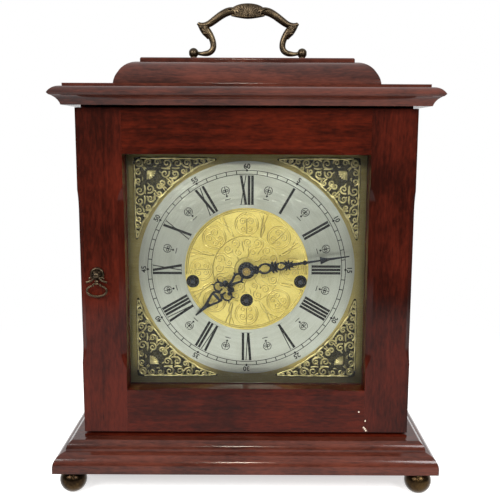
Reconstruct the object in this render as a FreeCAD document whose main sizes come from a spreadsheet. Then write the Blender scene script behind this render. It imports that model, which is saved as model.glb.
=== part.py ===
import FreeCAD, Part
import math
import os
import re

import Sketcher
from FreeCAD import Placement, Rotation, Vector

# A mahogany bracket clock: case on ball feet, glazed front door, back door, carrying handle,
# square brass dial and an eight-day movement with hour and quarter trains.
# Millimetres. +X to the right of the dial, +Y to the back, +Z up. The origin lies on the shelf
# that the clock stands on, under the middle of its plinth.

# ---------------------------------------------------------------------------- driving sizes

SIZES = {
    # feet and plinth
    "foot_height": 18.9,
    "foot_radius": 10.6,
    "foot_ball_radius": 10.6,
    "foot_belly_height": 9.6,
    "foot_flat_radius": 4.5,
    "foot_neck_radius": 8.4,
    "foot_collar_radius": 7.4,
    "foot_collar_thick": 1.4,
    "foot_inset": 13.4,
    "plinth_half_width": 150.0,
    "plinth_half_depth": 95.0,
    "plinth_edge_rise": 4.4,
    "plinth_step_in": 4.7,
    "plinth_step_rise": 13.6,
    "plinth_ledge_in": 8.9,
    "plinth_ledge_rise": 15.2,
    "plinth_crown_in": 13.3,
    "plinth_crown_rise": 22.7,
    "base_thick": 24.2,
    # case
    "case_half_width": 128.5,
    "side_thick": 12.0,
    "side_height": 257.8,
    "cornice_half_width": 145.0,
    "cornice_overhang": 16.5,
    "cornice_height": 15.8,
    "cornice_run": 22.0,
    "cornice_under_in": 8.2,
    "cornice_nose_in": 1.3,
    "cornice_nose_rise": 7.1,
    "cornice_tip_rise": 8.4,
    "cornice_ovolo_rise": 13.7,
    "cornice_fillet_in": 9.3,
    "cornice_cove_radius": 10.2,
    "cornice_ovolo_radius": 9.5,
    "bell_inset": 40.8,
    "bell_back_inset": 24.3,
    "bell_height": 20.1,
    "bell_shoulder_in": 3.6,
    "bell_shoulder_rise": 11.1,
    "cap_inset": 18.75,
    "cap_height": 3.5,
    "cap_edge_radius": 1.4,
    # front door
    "door_front_inset": 21.4,
    "door_thick": 20.0,
    "door_gap": 0.3,
    "door_low_gap": 2.0,
    "door_top_gap": 1.6,
    "stile_width": 34.5,
    "rail_width": 34.5,
    "reveal_depth": 15.0,
    "rebate_width": 6.0,
    "glass_clearance": 0.5,
    "glass_thick": 3.0,
    "bead_thick": 1.7,
    "chamfer_depth": 4.4,
    "outer_chamfer_depth": 3.6,
    "chamfer_taper": 15.0,
    "outer_stop_low": 5.0,
    "outer_stop_high": 3.0,
    "stile_chamfer_low": 52.0,
    "stile_chamfer_high": 58.5,
    "rail_chamfer_stop": 19.0,
    "hinge_radius": 2.0,
    "hinge_pin_radius": 0.9,
    "hinge_leaf_thick": 0.9,
    "hinge_leaf_width": 12.0,
    "hinge_leaf_half_height": 12.0,
    "hinge_knuckle_half": 4.0,
    "hinge_offset": 2.3,
    "hinge_end_distance": 42.0,
    "running_fit": 0.05,
    "play": 0.3,
    # drop pull on the left stile, and the catch behind it
    "pull_offset": 115.0,
    "pull_height": 172.7,
    "pull_reach": 10.0,
    "pull_rose_radius": 4.4,
    "pull_rose_thick": 1.2,
    "pull_stem_radius": 2.1,
    "pull_reach": 3.4,
    "pull_head_radius": 2.9,
    "pull_wire_radius": 1.0,
    "pull_half_width": 7.7,
    "pull_drop": 16.0,
    "catch_height": 176.0,
    "catch_radius": 3.2,
    "catch_half_length": 9.0,
    "catch_depth": 12.0,
    # back
    "back_recess": 4.0,
    "back_door_thick": 10.0,
    "back_rail_width": 30.0,
    "back_hinge_offset": 2.2,
    "back_hinge_radius": 1.7,
    "back_hinge_standoff": 2.0,
    "back_hinge_inset": 34.0,
    "back_leaf_thick": 0.8,
    "back_leaf_half_height": 10.0,
    "slot_count": 7,
    "slot_pitch": 16.0,
    "slot_half_width": 3.0,
    "slot_half_length": 42.0,
    "button_offset": 70.0,
    "button_drop": 4.0,
    "button_half_length": 14.0,
    "button_half_width": 4.0,
    "button_thick": 2.2,
    "button_stud_radius": 2.0,
    "button_head_radius": 2.6,
    "stud_short": 2.0,
    # carrying handle
    "handle_half_span": 46.0,
    "handle_ball_radius": 4.15,
    "handle_axis_rise": 7.7,
    "handle_flange_radius": 5.6,
    "handle_stem_radius": 2.7,
    "handle_stem_shoulder": 2.2,
    "handle_pin_radius": 1.6,
    "handle_foot_bend": 5.0,
    "handle_arm_bend": 12.0,
    "handle_leg_radius": 2.15,
    "handle_arm_radius": 2.6,
    "handle_height": 42.7,
    "shell_rib_reach": 11.3,
    "shell_rib_radius": 2.2,
    # dial
    "dial_rise": 127.9,
    "dial_setback": 33.5,
    "dial_half": 100.0,
    "dial_thick": 1.6,
    "ring_radius": 87.9,
    "ring_inner_radius": 50.5,
    "ring_thick": 1.5,
    "centre_thick": 0.6,
    "spandrel_half": 91.0,
    "spandrel_start": 25.0,
    "spandrel_thick": 1.8,
    "spandrel_gap": 1.2,
    "winding_hole_radius": 4.7,
    "dial_centre_hole_radius": 4.6,
    "dial_frame_thick": 10.0,
    "dial_frame_window": 85.0,
    "hand_thick": 0.8,
    "hour_hand_length": 54.4,
    "minute_hand_length": 83.5,
    "hour_hub_radius": 7.0,
    "minute_hub_radius": 5.4,
    "hour_hand_turn": 228.0,
    "minute_hand_turn": 81.4,
    "hand_nut_radius": 3.25,
    "hour_hand_rise": 4.6,
    "hand_step": 3.2,
    "nut_height": 2.2,
    "arbor_end": 0.7,
    # movement frame
    "movement_gap": 0.5,
    "plate_thick": 2.5,
    "plate_spacing": 45.0,
    "plate_half_width": 62.0,
    "plate_drop": 60.0,
    "plate_rise": 46.0,
    "pillar_inset": 7.0,
    "pillar_radius": 3.2,
    "seat_thick": 12.0,
    "seat_depth": 58.0,
    "winding_offset": 44.0,
    "winding_drop": 10.0,
    "time_winding_drop": 25.6,
    "winding_square": 3.3,
    "winding_front": 2.6,
    # wheels and pinions
    "great_teeth": 72,
    "great_pinion": 10,
    "great_module": 0.6,
    "barrel_radius": 19.0,
    "barrel_length": 25.0,
    "second_teeth": 60,
    "second_pinion": 10,
    "second_module": 0.5,
    "centre_teeth": 64,
    "centre_module": 0.45,
    "third_teeth": 60,
    "third_module": 0.4,
    "fourth_teeth": 64,
    "fourth_module": 0.35,
    "small_pinion": 8,
    "third_bearing": 130.0,
    "fourth_bearing": 60.0,
    "escape_bearing": 30.0,
    "fly_bearing": 120.0,
    "fly_half_width": 9.0,
    "fly_length": 18.0,
    "cannon_teeth": 12,
    "minute_teeth": 36,
    "cannon_module": 0.5,
    "minute_pinion": 10,
    "hour_teeth": 40,
    "hour_module": 0.48,
    "minute_bearing": 150.0,
    "arbor_radius": 1.2,
    "centre_arbor_radius": 1.5,
    "barrel_arbor_radius": 2.6,
    "pivot_radius": 0.8,
    "cannon_pipe_radius": 2.4,
    "hour_pipe_radius": 3.4,
    "train_wheel_thick": 1.5,
    "great_wheel_thick": 2.5,
    # escapement on its platform
    "escape_radius": 5.5,
    "escape_tooth_count": 15,
    "escape_thick": 0.8,
    "lever_distance": 8.0,
    "balance_distance": 10.0,
    "balance_radius": 9.0,
    "balance_rim": 1.4,
    "platform_reach": 13.0,
    "platform_thick": 2.0,
    "platform_margin": 3.5,
    # rods and hammers
    "hammer_offset": 40.0,
    "hammer_rise": -50.0,
    "hammer_count": 4,
    "hammer_pitch": 8.0,
    "hammer_first": 14.0,
    "hammer_arm": 26.0,
    "hammer_head_radius": 3.5,
    "hammer_head_length": 12.0,
    "hammer_boss_radius": 4.0,
    "hammer_boss_length": 8.0,
    "rod_radius": 1.5,
    "rod_length": 156.0,
    "rod_step": 8.0,
    "rod_gap": 1.5,
    "rod_block_length": 12.0,
    "rod_block_height": 14.0,
}

doc = FreeCAD.newDocument("bracket_clock")
sheet = doc.addObject("Spreadsheet::Sheet", "Sizes")
for row, (alias, size) in enumerate(SIZES.items(), start=1):
    sheet.set(f"A{row}", alias)
    sheet.set(f"B{row}", str(size))
    sheet.setAlias(f"B{row}", alias)
doc.recompute()


def bound(text):
    """An expression in size names, as the document's own expressions write it."""
    return re.sub(r"[a-z_]+", lambda word: f"Sizes.{word[0]}" if word[0] in SIZES else word[0], str(text))


def number(text):
    """The present value of such an expression."""
    return float(sheet.evalExpression(bound(text)))


def bind(item, **properties):
    """Ties properties of an object to expressions in size names."""
    for name, text in properties.items():
        item.setExpression(name, bound(text))
    return item


def at(item, x, y, z):
    """Ties the place of an object to expressions."""
    for axis, text in (("x", x), ("y", y), ("z", z)):
        item.setExpression(f"Placement.Base.{axis}", bound(text))
    return item


# ---------------------------------------------------------------------------- plain solids

FROM_Z = {
    "X": Rotation(Vector(0, 1, 0), 90),
    "Y": Rotation(Vector(1, 0, 0), -90),
    "Z": Rotation(),
}


def block(x, y, z, length, width, height):
    """A block whose low corner is at x, y, z."""
    item = doc.addObject("Part::Box", "Block")
    bind(item, Length=length, Width=width, Height=height)
    return at(item, x, y, z)


def span(low, high):
    """A block between two corners, each an x, y, z of expressions."""
    sides = [f"({top})-({bottom})" for bottom, top in zip(low, high)]
    return block(*low, *sides)


def rod(radius, length, x, y, z, axis="Y"):
    """A round bar that starts at x, y, z and runs along an axis."""
    item = doc.addObject("Part::Cylinder", "Rod")
    item.Placement = Placement(Vector(), FROM_Z[axis])
    bind(item, Radius=radius, Height=length)
    return at(item, x, y, z)


def ball(radius, x, y, z):
    item = doc.addObject("Part::Sphere", "Ball")
    bind(item, Radius=radius)
    return at(item, x, y, z)


def fuse(*pieces):
    item = doc.addObject("Part::MultiFuse", "Joined")
    item.Shapes = list(pieces)
    item.Refine = True
    return item


def cut(base, *tools):
    item = doc.addObject("Part::Cut", "Cut")
    item.Base = base
    item.Tool = tools[0] if len(tools) == 1 else fuse(*tools)
    item.Refine = True
    return item


def common(*pieces):
    item = doc.addObject("Part::MultiCommon", "Shared")
    item.Shapes = list(pieces)
    item.Refine = True
    return item


def group(*pieces):
    """Several separate solids in one node."""
    item = doc.addObject("Part::Compound", "Group")
    item.Links = list(pieces)
    return item


def mirrored(piece, normal):
    """The same piece on the other side of the plane through the origin."""
    item = doc.addObject("Part::Mirroring", "Mirrored")
    item.Source = piece
    item.Normal = normal
    return item


def made(shape, name="Form"):
    """An object for a shape that Part's functions make."""
    item = doc.addObject("Part::Feature", name)
    item.Shape = shape
    return item


SIDEWAYS = Vector(1, 0, 0)
BACKWARD = Vector(0, 1, 0)
UPWARD = Vector(0, 0, 1)

nodes = []


def node(item, label):
    """Names a finished sub-part."""
    item.Label = label
    nodes.append(item)
    return item


# ---------------------------------------------------------------------------- sketched bodies

def new_body():
    return doc.addObject("PartDesign::Body", "Body")


def arc_between(start, end, radius):
    """The short arc of a signed radius; positive turns anticlockwise."""
    chord = end - start
    middle = (start + end) * 0.5
    square = Vector(-chord.y, chord.x, 0).normalize()
    rise = math.sqrt(max(radius * radius - chord.Length ** 2 / 4, 0.0))
    centre = middle + square * math.copysign(rise, radius)
    first, last = (start, end) if radius > 0 else (end, start)
    angles = [math.atan2(point.y - centre.y, point.x - centre.x) for point in (first, last)]
    circle = Part.Circle(centre, UPWARD, abs(radius))
    return Part.ArcOfCircle(circle, *angles)


def draw(drawing, corners):
    """A closed outline. A corner is x, y, and a third entry is the radius of the arc up to it."""
    first = drawing.GeometryCount
    count = len(corners)
    points = [Vector(number(corner[0]), number(corner[1]), 0) for corner in corners]
    ends = []
    for index in range(count):
        follower = corners[(index + 1) % count]
        start, end = points[index], points[(index + 1) % count]
        if len(follower) == 3:
            radius = number(follower[2])
            edge = drawing.addGeometry(arc_between(start, end, radius))
            size = drawing.addConstraint(Sketcher.Constraint("Radius", edge, abs(radius)))
            sign = "" if radius > 0 else "-"
            drawing.setExpression(f"Constraints[{size}]", bound(f"{sign}({follower[2]})"))
            ends.append((1, 2) if radius > 0 else (2, 1))
        else:
            drawing.addGeometry(Part.LineSegment(start, end))
            ends.append((1, 2))
    for index in range(count):
        edge, follower = first + index, first + (index + 1) % count
        joint = (edge, ends[index][1], follower, ends[(index + 1) % count][0])
        drawing.addConstraint(Sketcher.Constraint("Coincident", *joint))
    for index, corner in enumerate(corners):
        place = (-1, 1, first + index, ends[index][0])
        pin(drawing, place, corner, points[index])


def pin(drawing, place, corner, point):
    """Holds one point of a drawing at x, y from the origin."""
    for direction, text, value in (("DistanceX", corner[0], point.x), ("DistanceY", corner[1], point.y)):
        size = drawing.addConstraint(Sketcher.Constraint(direction, *place, value))
        drawing.setExpression(f"Constraints[{size}]", bound(text))


def draw_circle(drawing, x, y, radius):
    centre = Vector(number(x), number(y), 0)
    edge = drawing.addGeometry(Part.Circle(centre, UPWARD, number(radius)))
    size = drawing.addConstraint(Sketcher.Constraint("Radius", edge, number(radius)))
    drawing.setExpression(f"Constraints[{size}]", bound(radius))
    pin(drawing, (-1, 1, edge, 3), (x, y), centre)


def sketch(body, role, outlines=(), circles=()):
    """A sketch on one of the body's own origin planes."""
    plane = next(item for item in body.Origin.OriginFeatures if item.Role == role)
    drawing = body.newObject("Sketcher::SketchObject", "Drawing")
    drawing.AttachmentSupport = (plane, [""])
    drawing.MapMode = "FlatFace"
    for corners in outlines:
        draw(drawing, corners)
    for circle in circles:
        draw_circle(drawing, *circle)
    return drawing


def pad(body, drawing, length, backward=False, both_ways=False):
    feature = body.newObject("PartDesign::Pad", "Pad")
    feature.Profile = drawing
    feature.Reversed = backward
    if both_ways:
        feature.Midplane = True
    bind(feature, Length=length)
    body.Tip = feature
    return feature


def plate(outlines, circles, thick, y, x="0", z="0"):
    """A flat piece drawn in X and Z, with its front face at y."""
    body = new_body()
    pad(body, sketch(body, "XZ_Plane", outlines, circles), thick, backward=True)
    return at(body, x, y, z)


def turned(profile, x="0", y="0", z="0"):
    """A lathe-turned piece; the profile is radius, height."""
    body = new_body()
    drawing = sketch(body, "XZ_Plane", [profile])
    feature = body.newObject("PartDesign::Revolution", "Turning")
    feature.Profile = drawing
    feature.ReferenceAxis = (drawing, ["V_Axis"])
    feature.Angle = 360
    body.Tip = feature
    return at(body, x, y, z)


def rectangle(x_low, z_low, x_high, z_high):
    return [(x_low, z_low), (x_high, z_low), (x_high, z_high), (x_low, z_high)]


def tangent_arc(across, along):
    """The radius of an arc that starts square to a line and ends across and along from there."""
    return f"((({across})^2+({along})^2)/(2*({across})))"


# ---------------------------------------------------------------------------- stations

plinth_front = "(-plinth_half_depth)"
plinth_low = "foot_height"
base_top = "(foot_height+base_thick)"
case_top = f"({base_top}+side_height)"
cornice_top = f"({case_top}+cornice_height)"
bell_top_z = f"({cornice_top}+bell_height)"
cap_top = f"({bell_top_z}+cap_height)"

door_front = "(door_front_inset-plinth_half_depth)"
door_back = f"({door_front}+door_thick)"
case_front = f"({door_back}+door_gap)"
case_back = "plinth_half_depth"
side_inner = "(case_half_width-side_thick)"

door_low = f"({base_top}+door_low_gap)"
door_high = f"({case_top}-door_top_gap)"
opening_half = "(case_half_width-stile_width)"
opening_low = f"({door_low}+rail_width)"
opening_high = f"({door_high}-rail_width)"

hand_z = f"({base_top}+dial_rise)"
dial_front = f"({door_front}+dial_setback)"
dial_back = f"({dial_front}+dial_thick)"
frame_back = f"({dial_back}+dial_frame_thick)"
front_plate_y = f"({frame_back}+movement_gap)"
train_front = f"({front_plate_y}+plate_thick)"
train_back = f"({train_front}+plate_spacing)"
back_plate_back = f"({train_back}+plate_thick)"
seat_top = f"({hand_z}-plate_drop)"


# ---------------------------------------------------------------------------- feet and plinth

def make_feet():
    neck_z = "(foot_height-foot_collar_thick-2)"
    profile = [
        ("0", "0"),
        ("foot_flat_radius", "0"),
        ("foot_radius", "foot_belly_height", "foot_ball_radius"),
        ("foot_neck_radius", neck_z, "foot_ball_radius"),
        ("foot_collar_radius", "foot_height-foot_collar_thick"),
        ("foot_collar_radius", "foot_height"),
        ("0", "foot_height"),
    ]
    foot = turned(profile, "plinth_half_width-foot_inset", "plinth_half_depth-foot_inset")
    other = mirrored(foot, SIDEWAYS)
    front = mirrored(foot, BACKWARD)
    return node(group(foot, other, front, mirrored(front, SIDEWAYS)), "feet")


def mitre_prism(corners, z, height):
    """The plan of one mitred length, used to trim its ends."""
    body = new_body()
    pad(body, sketch(body, "XY_Plane", [corners]), height)
    return at(body, "0", "0", z)


def moulding_frame(label, half, front, run, z, height, profile):
    """A moulding round front and sides in three mitred lengths. The profile is inset and rise."""
    back = case_back
    front_body = new_body()
    outline = [(f"{front}+{point[0]}", *point[1:]) for point in profile]
    pad(front_body, sketch(front_body, "YZ_Plane", [outline]), f"2*{half}", both_ways=True)
    at(front_body, "0", "0", z)
    plan = [
        (f"-({half})", front),
        (half, front),
        (f"{half}-({run})", f"{front}+{run}"),
        (f"{run}-({half})", f"{front}+{run}"),
    ]
    front_run = common(front_body, mitre_prism(plan, z, height))
    side_body = new_body()
    outline = []
    for point in profile:
        bend = [f"-({point[2]})"] if len(point) == 3 else []
        outline.append((f"{half}-({point[0]})", point[1], *bend))
    length = f"{back}-({front})"
    pad(side_body, sketch(side_body, "XZ_Plane", [outline]), length, backward=True)
    at(side_body, "0", front, z)
    plan = [
        (half, front),
        (half, back),
        (f"{half}-({run})", back),
        (f"{half}-({run})", f"{front}+{run}"),
    ]
    side_run = common(side_body, mitre_prism(plan, z, height))
    return node(group(front_run, side_run, mirrored(side_run, SIDEWAYS)), label)


def make_plinth():
    run = "(plinth_half_width-case_half_width)"
    profile = [
        (run, "0"),
        ("0", "0"),
        ("0", "plinth_edge_rise"),
        ("plinth_step_in", "plinth_step_rise",
         "-" + tangent_arc("plinth_step_in", "plinth_step_rise-plinth_edge_rise")),
        ("plinth_ledge_in", "plinth_ledge_rise"),
        ("plinth_crown_in", "plinth_crown_rise",
         "-" + tangent_arc("plinth_crown_in-plinth_ledge_in", "plinth_crown_rise-plinth_ledge_rise")),
        (run, "plinth_crown_rise"),
    ]
    moulding_frame("plinth_moulding", "plinth_half_width", plinth_front, run, plinth_low,
                   "plinth_crown_rise", profile)
    low = ("-case_half_width", f"{plinth_front}+{run}", plinth_low)
    high = ("case_half_width", case_back, base_top)
    node(span(low, high), "base_board")


# ---------------------------------------------------------------------------- case

hinge_y = f"({door_back}+door_gap/2)"
hinge_x = "(case_half_width+hinge_offset)"
hinge_heights = (f"({door_low}+hinge_end_distance)", f"({door_high}-hinge_end_distance)")
leaf_x = "(case_half_width-hinge_leaf_width)"


def door_leaf_plate(z):
    low = (leaf_x, f"{door_back}-hinge_leaf_thick", f"{z}-hinge_leaf_half_height")
    return span(low, ("case_half_width", door_back, f"{z}+hinge_leaf_half_height"))


def case_leaf_plate(z):
    low = (leaf_x, case_front, f"{z}-hinge_leaf_half_height")
    high = ("case_half_width", f"{case_front}+hinge_leaf_thick", f"{z}+hinge_leaf_half_height")
    return span(low, high)


def make_sides():
    low = (side_inner, case_front, base_top)
    right = span(low, ("case_half_width", case_back, case_top))
    node(cut(right, *[case_leaf_plate(z) for z in hinge_heights]), "side_panel_right")
    low = ("-case_half_width", case_front, base_top)
    left = span(low, (f"-{side_inner}", case_back, case_top))
    node(left, "side_panel_left")


cornice_front = f"({door_front}-cornice_overhang)"


def make_cornice():
    profile = [
        ("cornice_run", "0"),
        ("cornice_under_in", "0"),
        ("cornice_nose_in", "cornice_nose_rise", "cornice_cove_radius"),
        ("0", "cornice_tip_rise"),
        ("cornice_fillet_in", "cornice_ovolo_rise", "-cornice_ovolo_radius"),
        ("cornice_fillet_in", "cornice_height"),
        ("cornice_run", "cornice_height"),
    ]
    moulding_frame("cornice_moulding", "cornice_half_width", cornice_front, "cornice_run", case_top,
                   "cornice_height", profile)
    inner = "(cornice_half_width-cornice_run)"
    low = (f"-{inner}", f"{cornice_front}+cornice_run", case_top)
    node(span(low, (inner, case_back, cornice_top)), "top_board")


bell_half = "(cornice_half_width-bell_inset)"
bell_front = f"({cornice_front}+bell_inset)"
bell_back = f"({case_back}-bell_back_inset)"


def bell_outline(low, high):
    """One side view of the bell board between two edges."""
    shoulder = "-" + tangent_arc("bell_shoulder_in", "bell_shoulder_rise")
    crown = "-" + tangent_arc("bell_height-bell_shoulder_rise", "cap_inset-bell_shoulder_in")
    return [
        (low, "0"),
        (f"{low}+bell_shoulder_in", "bell_shoulder_rise", shoulder),
        (f"{low}+cap_inset", "bell_height", crown),
        (f"{high}-cap_inset", "bell_height"),
        (f"{high}-bell_shoulder_in", "bell_shoulder_rise", crown),
        (high, "0", shoulder),
    ]


def make_bell():
    across = new_body()
    outline = bell_outline(f"-{bell_half}", bell_half)
    pad(across, sketch(across, "XZ_Plane", [outline]), f"{bell_back}-{bell_front}", backward=True)
    at(across, "0", bell_front, cornice_top)
    along = new_body()
    outline = bell_outline(bell_front, bell_back)
    pad(along, sketch(along, "YZ_Plane", [outline]), f"2*{bell_half}", both_ways=True)
    at(along, "0", "0", cornice_top)
    node(common(across, along), "bell_top")
    cap = new_body()
    half = f"({bell_half}-cap_inset)"
    low, high = f"({bell_front}+cap_inset)", f"({bell_back}-cap_inset)"
    top = pad(cap, sketch(cap, "XY_Plane", [rectangle(f"-{half}", low, half, high)]), "cap_height")
    doc.recompute()
    edges = [f"Edge{index}" for index, edge in enumerate(top.Shape.Edges, start=1)
             if min(corner.Z for corner in edge.Vertexes) > number("cap_height") / 2]
    rounding = cap.newObject("PartDesign::Fillet", "Rounding")
    rounding.Base = (top, edges)
    bind(rounding, Radius="cap_edge_radius")
    cap.Tip = rounding
    node(at(cap, "0", "0", bell_top_z), "top_cap")


back_face = f"({case_back}-back_recess)"
back_inner = f"({back_face}-back_door_thick)"
button_x = "(-button_offset)"
button_z = f"({case_top}-back_rail_width/2-button_drop)"


def make_back():
    low_rail = span((f"-{side_inner}", back_inner, base_top),
                    (side_inner, back_face, f"{base_top}+back_rail_width"))
    high_rail = span((f"-{side_inner}", back_inner, f"{case_top}-back_rail_width"),
                     (side_inner, back_face, case_top))
    bore = rod("button_stud_radius+running_fit", "back_door_thick", button_x, back_inner, button_z)
    node(group(low_rail, cut(high_rail, bore)), "back_rails")
    low_z = f"({base_top}+back_rail_width+play)"
    high_z = f"({case_top}-back_rail_width-play)"
    middle = f"(({low_z}+{high_z})/2)"
    outlines = [rectangle(f"play-{side_inner}", low_z, f"{side_inner}-play", high_z)]
    for index in range(int(number("slot_count"))):
        shift = f"({index}-(slot_count-1)/2)*slot_pitch"
        x_low, x_high = f"{shift}-slot_half_width", f"{shift}+slot_half_width"
        z_low, z_high = f"{middle}-slot_half_length", f"{middle}+slot_half_length"
        outlines.append([
            (x_low, z_low),
            (x_high, z_low, "slot_half_width*1.05"),
            (x_high, z_high),
            (x_low, z_high, "slot_half_width*1.05"),
        ])
    node(plate(outlines, [], "back_door_thick", back_inner), "back_door")


back_hinge_x = f"({side_inner}-back_hinge_offset)"
back_hinge_y = f"({back_face}+back_hinge_standoff)"
back_hinge_heights = (f"({base_top}+back_rail_width+back_hinge_inset)",
                      f"({case_top}-back_rail_width-back_hinge_inset)")


def knuckle_bore(x, y, z, half):
    length = f"2*{half}"
    return rod("hinge_pin_radius+running_fit", length, x, y, f"{z}-{half}", "Z")


def make_front_hinges():
    door_side, case_side = [], []
    gap = "play"
    for z in hinge_heights:
        half = f"(hinge_knuckle_half-{gap})"
        tab = span(("case_half_width", f"{door_back}-hinge_leaf_thick", f"{z}-{half}"),
                   (hinge_x, door_back, f"{z}+{half}"))
        barrel = rod("hinge_radius", f"2*{half}", hinge_x, hinge_y, f"{z}-{half}", "Z")
        moving = cut(fuse(door_leaf_plate(z), tab, barrel), knuckle_bore(hinge_x, hinge_y, z, half))
        door_side.append(moving)
        pieces = [case_leaf_plate(z)]
        length = "(hinge_leaf_half_height-hinge_knuckle_half)"
        for start in (f"({z}-hinge_leaf_half_height)", f"({z}+hinge_knuckle_half)"):
            pieces.append(span(("case_half_width", case_front, start),
                               (hinge_x, f"{case_front}+hinge_leaf_thick", f"{start}+{length}")))
            pieces.append(rod("hinge_radius", length, hinge_x, hinge_y, start, "Z"))
        pieces.append(rod("hinge_pin_radius", "2*hinge_leaf_half_height", hinge_x, hinge_y,
                          f"{z}-hinge_leaf_half_height", "Z"))
        case_side.append(fuse(*pieces))
    node(group(*door_side), "door_hinge_leaves")
    node(group(*case_side), "case_hinge_leaves")


def make_back_hinges():
    door_side, case_side = [], []
    leaf_edge = f"({back_hinge_x}-back_hinge_radius-play)"
    high_y = f"{back_face}+back_leaf_thick"
    for z in back_hinge_heights:
        half = "(hinge_knuckle_half-play)"
        flat = span((f"{back_hinge_x}-hinge_leaf_width", back_face, f"{z}-back_leaf_half_height"),
                    (leaf_edge, high_y, f"{z}+back_leaf_half_height"))
        tab = span((leaf_edge, back_face, f"{z}-{half}"), (back_hinge_x, high_y, f"{z}+{half}"))
        barrel = rod("back_hinge_radius", f"2*{half}", back_hinge_x, back_hinge_y, f"{z}-{half}", "Z")
        moving = cut(fuse(flat, tab, barrel), knuckle_bore(back_hinge_x, back_hinge_y, z, half))
        door_side.append(moving)
        wall = f"({side_inner}-back_leaf_thick)"
        leaf = span((wall, f"{back_face}+play", f"{z}-back_leaf_half_height"),
                    (side_inner, f"{case_back}-play", f"{z}+back_leaf_half_height"))
        room = rod("back_hinge_radius+play", "2*hinge_knuckle_half", back_hinge_x, back_hinge_y,
                   f"{z}-hinge_knuckle_half", "Z")
        pieces = [cut(leaf, room)]
        length = "(back_leaf_half_height-hinge_knuckle_half)"
        for start in (f"({z}-back_leaf_half_height)", f"({z}+hinge_knuckle_half)"):
            pieces.append(span((back_hinge_x, f"{back_hinge_y}-back_leaf_thick/2", start),
                               (wall, f"{back_hinge_y}+back_leaf_thick/2", f"{start}+{length}")))
            pieces.append(rod("back_hinge_radius", length, back_hinge_x, back_hinge_y, start, "Z"))
        pieces.append(rod("hinge_pin_radius", "2*back_leaf_half_height", back_hinge_x, back_hinge_y,
                          f"{z}-back_leaf_half_height", "Z"))
        case_side.append(fuse(*pieces))
    node(group(*door_side), "back_door_leaves")
    node(group(*case_side), "back_case_leaves")


def make_turn_button():
    face = f"({back_face}+play)"
    wing = plate([[
        ("-button_half_length", "-button_half_width", "button_half_width*1.05"),
        ("button_half_length", "-button_half_width"),
        ("button_half_length", "button_half_width", "button_half_width*1.05"),
        ("-button_half_length", "button_half_width"),
    ]], [], "button_thick", face, button_x, button_z)
    stud = rod("button_stud_radius", "back_door_thick-stud_short", button_x,
               f"{back_inner}+stud_short", button_z)
    head = rod("button_head_radius", "button_thick*0.8", button_x, f"{face}+button_thick*0.5",
               button_z)
    shank = rod("button_stud_radius", "play+button_thick", button_x, back_face, button_z)
    return node(fuse(wing, stud, shank, head), "turn_button")


# ---------------------------------------------------------------------------- front door

def stopped_chamfer(low, high, depth, corner, inward, along):
    """The wood taken off an edge: full between its stops, running out to nothing at both ends."""
    bottom, top, taper = number(low), number(high), number("chamfer_taper")
    full = number(depth) / math.sqrt(2)
    wide = 3 * full
    outside = -full / 4
    stations = [
        Vector(outside, -wide, bottom),
        Vector(0, -wide, bottom),
        Vector(full * 0.62, -wide, bottom + taper * 0.38),
        Vector(full, -wide, bottom + taper),
        Vector(full, -wide, top - taper),
        Vector(full * 0.62, -wide, top - taper * 0.38),
        Vector(0, -wide, top),
        Vector(outside, -wide, top),
    ]
    edges = [
        Part.LineSegment(stations[0], stations[1]).toShape(),
        Part.Arc(stations[1], stations[2], stations[3]).toShape(),
        Part.LineSegment(stations[3], stations[4]).toShape(),
        Part.Arc(stations[4], stations[5], stations[6]).toShape(),
        Part.LineSegment(stations[6], stations[7]).toShape(),
        Part.LineSegment(stations[7], stations[0]).toShape(),
    ]
    solid = Part.Face(Part.Wire(edges)).extrude(Vector(0, 2 * wide, 0))
    item = made(solid, "Chamfer")
    across = along.cross(inward)
    place = Vector(*[number(text) for text in corner])
    item.Placement = Placement(place, Rotation(inward, across, along, "ZXY"))
    return item


def make_door():
    rebate = span((f"-{opening_half}-rebate_width", f"{door_front}+reveal_depth",
                   f"{opening_low}-rebate_width"),
                  (f"{opening_half}+rebate_width", f"{door_back}+1", f"{opening_high}+rebate_width"))
    chamfer_low = f"({opening_low}+stile_chamfer_low-rail_width)"
    chamfer_high = f"({opening_high}+rail_width-stile_chamfer_high)"
    for side, label in ((-1, "door_stile_left"), (1, "door_stile_right")):
        if side < 0:
            low, high = "-case_half_width", f"-{opening_half}"
        else:
            low, high = opening_half, "case_half_width"
        stile = span((low, door_front, door_low), (high, door_back, door_high))
        inner = stopped_chamfer(chamfer_low, chamfer_high, "chamfer_depth",
                                (f"{side}*{opening_half}", door_front, "0"),
                                Vector(side, 1, 0), UPWARD)
        outer = stopped_chamfer(f"{chamfer_low}+outer_stop_low", f"{chamfer_high}-outer_stop_high",
                                "outer_chamfer_depth",
                                (f"{side}*case_half_width", door_front, "0"),
                                Vector(-side, 1, 0), UPWARD)
        tools = [rebate, inner, outer]
        if side > 0:
            tools += [door_leaf_plate(z) for z in hinge_heights]
        node(cut(stile, *tools), label)
    for side, label in ((-1, "door_rail_bottom"), (1, "door_rail_top")):
        if side < 0:
            low, high, edge = door_low, opening_low, opening_low
        else:
            low, high, edge = opening_high, door_high, opening_high
        rail = span((f"-{opening_half}", door_front, low), (opening_half, door_back, high))
        ends = f"({opening_half}-rail_chamfer_stop)"
        chamfer = stopped_chamfer(f"-{ends}", ends, "chamfer_depth", ("0", door_front, edge),
                                  Vector(0, 1, side), SIDEWAYS)
        node(cut(rail, rebate, chamfer), label)


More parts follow.
